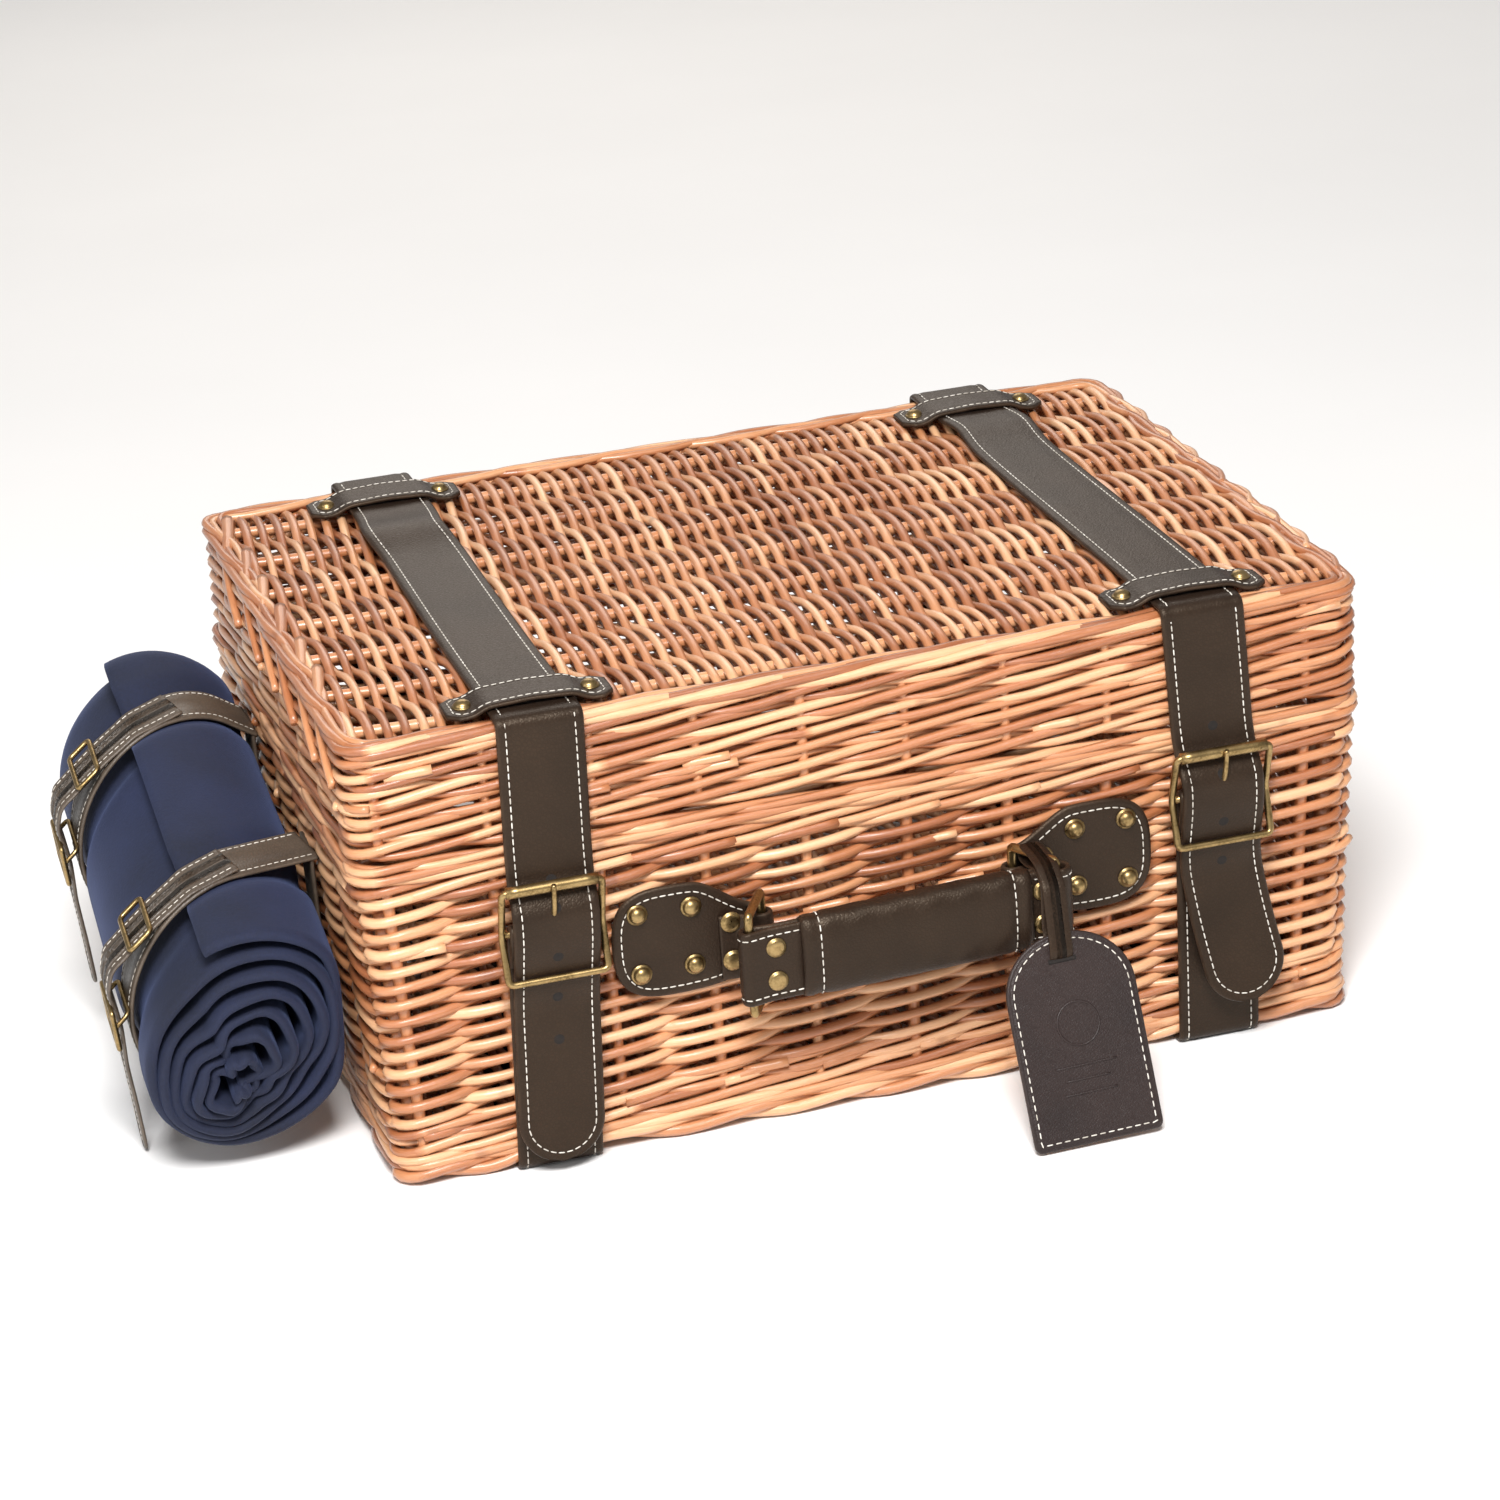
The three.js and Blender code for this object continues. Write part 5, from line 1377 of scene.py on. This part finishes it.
tag = Shape()
plate(tag, tag_outline(), on_tag, 2.6, reach=0.4)
outline_seam(tag, tag_outline(), on_tag, 2.6, inset=3.2, pitch=4.0)
pressed_mark(tag)
# Painted shade: the slot for the loop is a thin bar in the dark hole finish, since no opening is cut.
slot = np.linspace(-8.0, 4.5, 12)
tube(tag, on_tag(np.stack([slot, np.full(12, -12.0), np.full(12, 1.0)], 1)), 1.1, (0, 0, 1), finish=2)
finish_piece(tag, "luggage_tag_leather", [HIDE_TAG, THREAD, HOLE_SHADE], "tag", "leather", "luggage_tag")

# %% Tag loop
hole = on_tag(np.array([[0.0, -12.0, 0.0]]))[0]
loop = Shape()
lift = RING_RISE / 2
yz = [(-177.6, 107.9 + lift), (-176.9, 113.9 + lift), (-189.7, 114.2 + lift), (-199.7, 113.0 + lift),
      (-208.9, 108.0), (hole[1] - 2.0, hole[2] + 3.0), (hole[1] + 0.3, hole[2] - 0.4),
      (hole[1] + 3.4, hole[2] + 1.0), (-207.0, 88.0), (-206.3, 108.0), (-198.0, 110.8 + lift),
      (-188.7, 108.0 + lift), (-180.0, 107.6 + lift)]
loop_path = eased_loop([(0.0, y, z) for y, z in yz], 6.0)
drop = np.clip((112 - loop_path[:, 2]) / 34, 0, 1)
loop_path[:, 0] = TAG_TOP[0] + 1.6 - 0.6 * drop
loop_path = np.concatenate([loop_path, loop_path[:1] + 1e-3])
along = unit(np.gradient(loop_path, axis=0))
band = Band(loop_path, np.stack([np.zeros(len(along)), along[:, 2], -along[:, 1]], 1), 10.5, 1.6)
band.solid(loop)
finish_piece(loop, "tag_loop_leather", [HIDE, THREAD], "tag", "leather", "tag_loop")


# %% [markdown]
# ## The rolled blanket
# The blanket is one length of cloth folded and rolled, so it is drawn as what it is: a thick sheet
# that follows a spiral. Its layers are pressed out of round by the straps, its near end shows the
# layers, and its outside puffs up between the straps.
# %% Blanket
ROLL_TILT = math.radians(12.5)
ROLL_AXIS = np.array([0, math.cos(ROLL_TILT), math.sin(ROLL_TILT)])
ROLL_NEAR = np.array([-280.0, -128.0, 72.0])
ROLL_LONG = 254.0
CARRY = {"front": 68.0, "back": 196.0}
PRESS_U, PRESS_V = 0.98, 1.13
SHIFT_U, SHIFT_V = 7.0, -6.0


def on_roll(u, v, w):
    """From the roll's own drawing (u to the right, v up, w along it from its near end) to its place."""
    rise = np.array([0, -math.sin(ROLL_TILT), math.cos(ROLL_TILT)])
    u, v, w = (np.asarray(c, float)[..., None] for c in (u, v, w))
    return ROLL_NEAR + u * np.array([1.0, 0, 0]) + v * rise + w * ROLL_AXIS


def pressed(u, v):
    """The soft roll is taller than wide, and its side is flat where the basket's end stops it."""
    u = PRESS_U * u + SHIFT_U
    return np.where(u > 38, 38 + 7.5 * np.tanh((u - 38) / 7.5), u), PRESS_V * v + SHIFT_V


def strap_place(end, u):
    """How far along the roll a strap is: each lies slanting, further from the near end at the wall."""
    return CARRY[end] + 0.366 * (u - 44.0)


def blanket_surface(layers=6.6, thick=5.2, rows=620, columns=64):
    """Middle of the cloth. The radius shrinks by a layer each turn. It is cinched under the straps and
    puffed between them; inner layers slip down and to the left and are pleated, so that at the near end
    their folds fan out to the upper right. The far end is drawn in to a soft peak."""
    turn = np.linspace(0, layers, rows)
    t, ww = np.meshgrid(turn, np.linspace(0, 1, columns), indexing="ij")
    a = -2 * np.pi * t + 0.62 * np.pi
    inward = t / layers
    u0 = 46 * np.cos(a) + 7
    near = np.exp(-ww * 6.0)
    straps = sum(np.exp(-((ww * ROLL_LONG - strap_place(end, u0)) / 17.0) ** 4) for end in CARRY)
    radius = 46.9 - 6.3 * t - 3.6 * straps * (1 - inward) + (1 - straps) * 2.0 * (1 - inward) ** 2
    radius = radius - 17.0 * (1 - inward) * np.clip((ww - 0.87) / 0.13, 0, 1) ** 1.6
    squash = 1 + 0.42 * inward * np.cos(2 * (a - 0.75))
    pleats = (2.6 * inward * (np.abs(np.sin(2.5 * a + 0.8)) - 0.6) + 1.5 * inward * np.sin(7 * a + 1.0))
    fold = 1.3 * np.sin(2 * a + ww * 5.0) * (1 - straps) * (1 - inward)
    r = np.maximum(radius * squash + pleats * (0.35 + 0.65 * near) + fold, 1.6)
    u = r * np.cos(a) - 9.0 * inward
    v = r * np.sin(a) - 15.0 * inward
    u, v = pressed(u, v)
    along = ww * ROLL_LONG + near * (3.0 * np.sin(2.3 * a) * inward - 7.0 * inward)
    return u, v, along, thick * (1 - 0.2 * inward)


def blanket():
    """The two faces with a round rim between them make one closed sheet."""
    u, v, w, thick = blanket_surface()
    du, dv = np.gradient(u, axis=0), np.gradient(v, axis=0)
    size = np.maximum(np.hypot(du, dv), 1e-9)
    nu, nv = dv / size, -du / size
    outward_sign = np.sign((nu * u + nv * v).sum())
    nu, nv = nu * outward_sign, nv * outward_sign
    rim = [(0.32, 0.42), (0.0, 0.6), (-0.32, 0.42)]
    end = u.shape[1] - 1
    columns = [(0, h, -reach) for h, reach in rim[::-1]]
    columns += [(k, 0.5, 0.0) for k in range(end + 1)]
    columns += [(end, h, reach) for h, reach in rim]
    columns += [(k, -0.5, 0.0) for k in range(end, -1, -1)]
    index, h, reach = (np.array(c) for c in zip(*columns))
    h, reach = h[None] * thick[:, index], reach[None] * thick[:, index]
    points = on_roll(u[:, index] + h * nu[:, index], v[:, index] + h * nv[:, index], w[:, index] + reach)
    shape = Shape()
    rows, around = points.shape[:2]
    length = np.concatenate([[0], np.cumsum(size[1:, 0])])
    shape.add(points, skin(rows, around), np.repeat(length, around), np.tile(w[0, index], rows), 0.5)
    return shape, length[-1]


roll, cloth_long = blanket()
piece = finish_piece(roll, "blanket_cloth", [WOOL], "blanket", "wool", "blanket_roll")
print("blanket cloth along the spiral, in mm:", round(cloth_long))

# %% [markdown]
# ## The blanket's straps
# Two narrow taupe straps leave the end wall, go up over the roll, round its far side and back under it.
# Each closes in a small brass buckle on the far side, and the spare end hangs down.
# %% Blanket straps
CARRY_TOP = {"front": 126.0, "back": 138.0}
CARRY_FOOT = 22.0


def tangent_angle(point, radius, sign):
    """Where a line from a point touches a circle about the origin."""
    return math.atan2(point[1], point[0]) + sign * math.acos(radius / math.hypot(*point))


def carry_path(end):
    """Closed path (u, v) about the roll: wall, tangent, round the far side, tangent, up the wall."""
    centre_z = ROLL_NEAR[2] + CARRY[end] * math.sin(ROLL_TILT)
    radius = 47.4
    spots = []
    for z in (CARRY_TOP[end], CARRY_FOOT):
        u, v = -half_width(z) - 2.1 - ROLL_NEAR[0], (z - centre_z) / math.cos(ROLL_TILT)
        spots.append((u, v))
    loose = [((u - SHIFT_U) / PRESS_U, (v - SHIFT_V) / PRESS_V) for u, v in spots]
    first = tangent_angle(loose[0], radius, 1)
    last = tangent_angle(loose[1], radius, -1) + 2 * math.pi
    turn = np.linspace(first, last, 60)
    arc = np.stack([PRESS_U * radius * np.cos(turn) + SHIFT_U,
                    PRESS_V * radius * np.sin(turn) + SHIFT_V], axis=1)
    return np.concatenate([[spots[0]], arc, [spots[1], spots[0]]])


def carried(end, uv):
    """A path (u, v) laid in the strap's slanting plane, with the way out from the roll."""
    path = on_roll(uv[:, 0], uv[:, 1], strap_place(end, uv[:, 0]))
    step = unit(np.gradient(uv, axis=0))
    return path, on_roll(step[:, 1], -step[:, 0], np.zeros(len(uv))) - ROLL_NEAR


def small_frame(shape, end, first, last, radius=1.25):
    """A wire frame whose two short sides lie at (u, v) first and last, across the strap."""
    corners = [(*first, -12.6), (*first, 12.6), (*last, 12.6), (*last, -12.6)]
    loop = eased_loop(corners, 4.0, 1.0)
    place = on_roll(loop[:, 0], loop[:, 1], strap_place(end, loop[:, 0]) + loop[:, 2])
    tube(shape, place, radius, (1, 0, 0), sides=10, closed=True)


for end in CARRY:
    strap = Shape()
    path, up = carried(end, smoothed(carry_path(end), 5.0, 1.5))
    band = Band(path, up, 22.0, 2.4)
    band.solid(strap)
    band_seam(strap, band, 2.0, band.s[-1] - 60.0, inset=2.6, pitch=3.4, long=2.5, wide=0.5)
    spare = [(12.0, 49.6), (-8.0, 46.8), (-24.0, 38.5), (-36.0, 30.5), (-46.5, 23.0), (-48.8, 12.0),
             (-45.5, 0.0), (-44.2, -10.0), (-43.5, -30.0), (-40.5, -56.0), (-38.0, -82.0)]
    path, up = carried(end, smoothed(spare, 7.0, 1.5))
    band = Band(path, up, 20.0, 2.0)
    band.solid(strap, taper=round_tip(band, 9.0))
    band_seam(strap, band, 2.0, band.s[-1] - 8.0, inset=2.6, pitch=3.4, long=2.5, wide=0.5)
    finish_piece(strap, f"blanket_strap_{end}_leather", [TAUPE, THREAD], "basket", "strap_leather",
                 f"blanket_strap_{end}")
    buckle = Shape()
    small_frame(buckle, end, (-27.5, 39.0), (-37.5, 32.5))
    small_frame(buckle, end, (-48.5, 4.0), (-46.5, -16.5))
    small_frame(buckle, end, (-41.0, 1.0), (-48.0, -4.0), 1.1)
    finish_piece(buckle, f"blanket_buckle_{end}_brass", [BRASS], "basket", "brass", f"blanket_buckle_{end}")


# %% [markdown]
# ## Floor, light and camera
# The floor is a plain pale plane. A large soft light stands above the front, a second one fills from
# the left, and one behind and above grazes the lid, which gives the leather there its grey sheen. The
# camera looks a little from the left and down, turned slightly about its own line of sight.
# %% Floor
def floor_finish(net):
    place = net.place()
    shade = net.noise(place, 3.0, 3.0)
    return {"Base Color": net.ramp(shade, (0.2, srgb(244, 243, 242)), (0.8, srgb(248, 247, 246)))}


mesh = bpy.data.meshes.new("floor")
reach = 6.0
mesh.from_pydata([(-reach, -reach, 0), (reach, -reach, 0), (reach, reach, 0), (-reach, reach, 0)], [],
                 [(0, 1, 2, 3)])
floor = bpy.data.objects.new("floor", mesh)
bpy.context.scene.collection.objects.link(floor)
mesh.materials.append(material("pale floor", floor_finish, Roughness=0.7))
floor.location.z = -0.0005
floor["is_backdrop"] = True


# %% Lights
def soft_light(name, place, aim, size, power, colour=(1, 1, 1)):
    """A square area light that looks at a point."""
    lamp = bpy.data.lights.new(name, "AREA")
    lamp.shape, lamp.size, lamp.energy, lamp.color = "SQUARE", size, power, colour
    thing = bpy.data.objects.new(name, lamp)
    thing.location = place
    thing.rotation_euler = (Vector(aim) - Vector(place)).to_track_quat("-Z", "Y").to_euler()
    bpy.context.scene.collection.objects.link(thing)


soft_light("light above the front", (-0.5, -1.6, 1.9), (0, 0, 0.1), 0.7, 84)
soft_light("light from the left", (-2.3, -0.9, 1.0), (-0.1, 0, 0.1), 1.2, 10)
soft_light("light behind the lid", (0.4, 2.2, 1.5), (0, 0, 0.2), 1.4, 14, (1.0, 0.93, 0.85))
world = bpy.data.worlds.new("pale room")
bpy.context.scene.world = world
world.use_nodes = True
background = world.node_tree.nodes["Background"].inputs
background["Color"].default_value = (1, 1, 1, 1)
background["Strength"].default_value = 0.36
bpy.context.scene.view_settings.view_transform = "Standard"

# %% Camera
SENSOR = 36.0
FOCAL_SHARE = 4485 / 1500
AZIMUTH, ELEVATION, ROLL = (math.radians(v) for v in (-15.0, 22.0, -4.05))
back = Vector((math.sin(AZIMUTH) * math.cos(ELEVATION), -math.cos(AZIMUTH) * math.cos(ELEVATION),
               math.sin(ELEVATION)))
right = (-back).cross(Vector((0, 0, 1))).normalized()
above = right.cross(-back)
turned = Matrix((math.cos(ROLL) * right + math.sin(ROLL) * above,
                 -math.sin(ROLL) * right + math.cos(ROLL) * above, back)).transposed()
camera = bpy.data.objects.new("camera", bpy.data.cameras.new("camera"))
camera.data.sensor_width = SENSOR
camera.data.lens = SENSOR * FOCAL_SHARE
camera.data.clip_start, camera.data.clip_end = 0.1, 20.0
camera.matrix_world = Matrix.Translation((-0.510, -1.873, 0.890)) @ turned.to_4x4()
bpy.context.scene.collection.objects.link(camera)
bpy.context.scene.camera = camera

# %% [markdown]
# ## Size and finish
# The box of the frame and the box of what is shown are written down.
# %% Write the sizes and finish
bpy.context.view_layer.update()
low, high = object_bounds()
{"cad": [list(CAD_LOW), list(CAD_HIGH)], "shown": [list(low), list(high)]}
print("shown box in mm", [round(v * 1000, 1) for v in (*low, *high)])
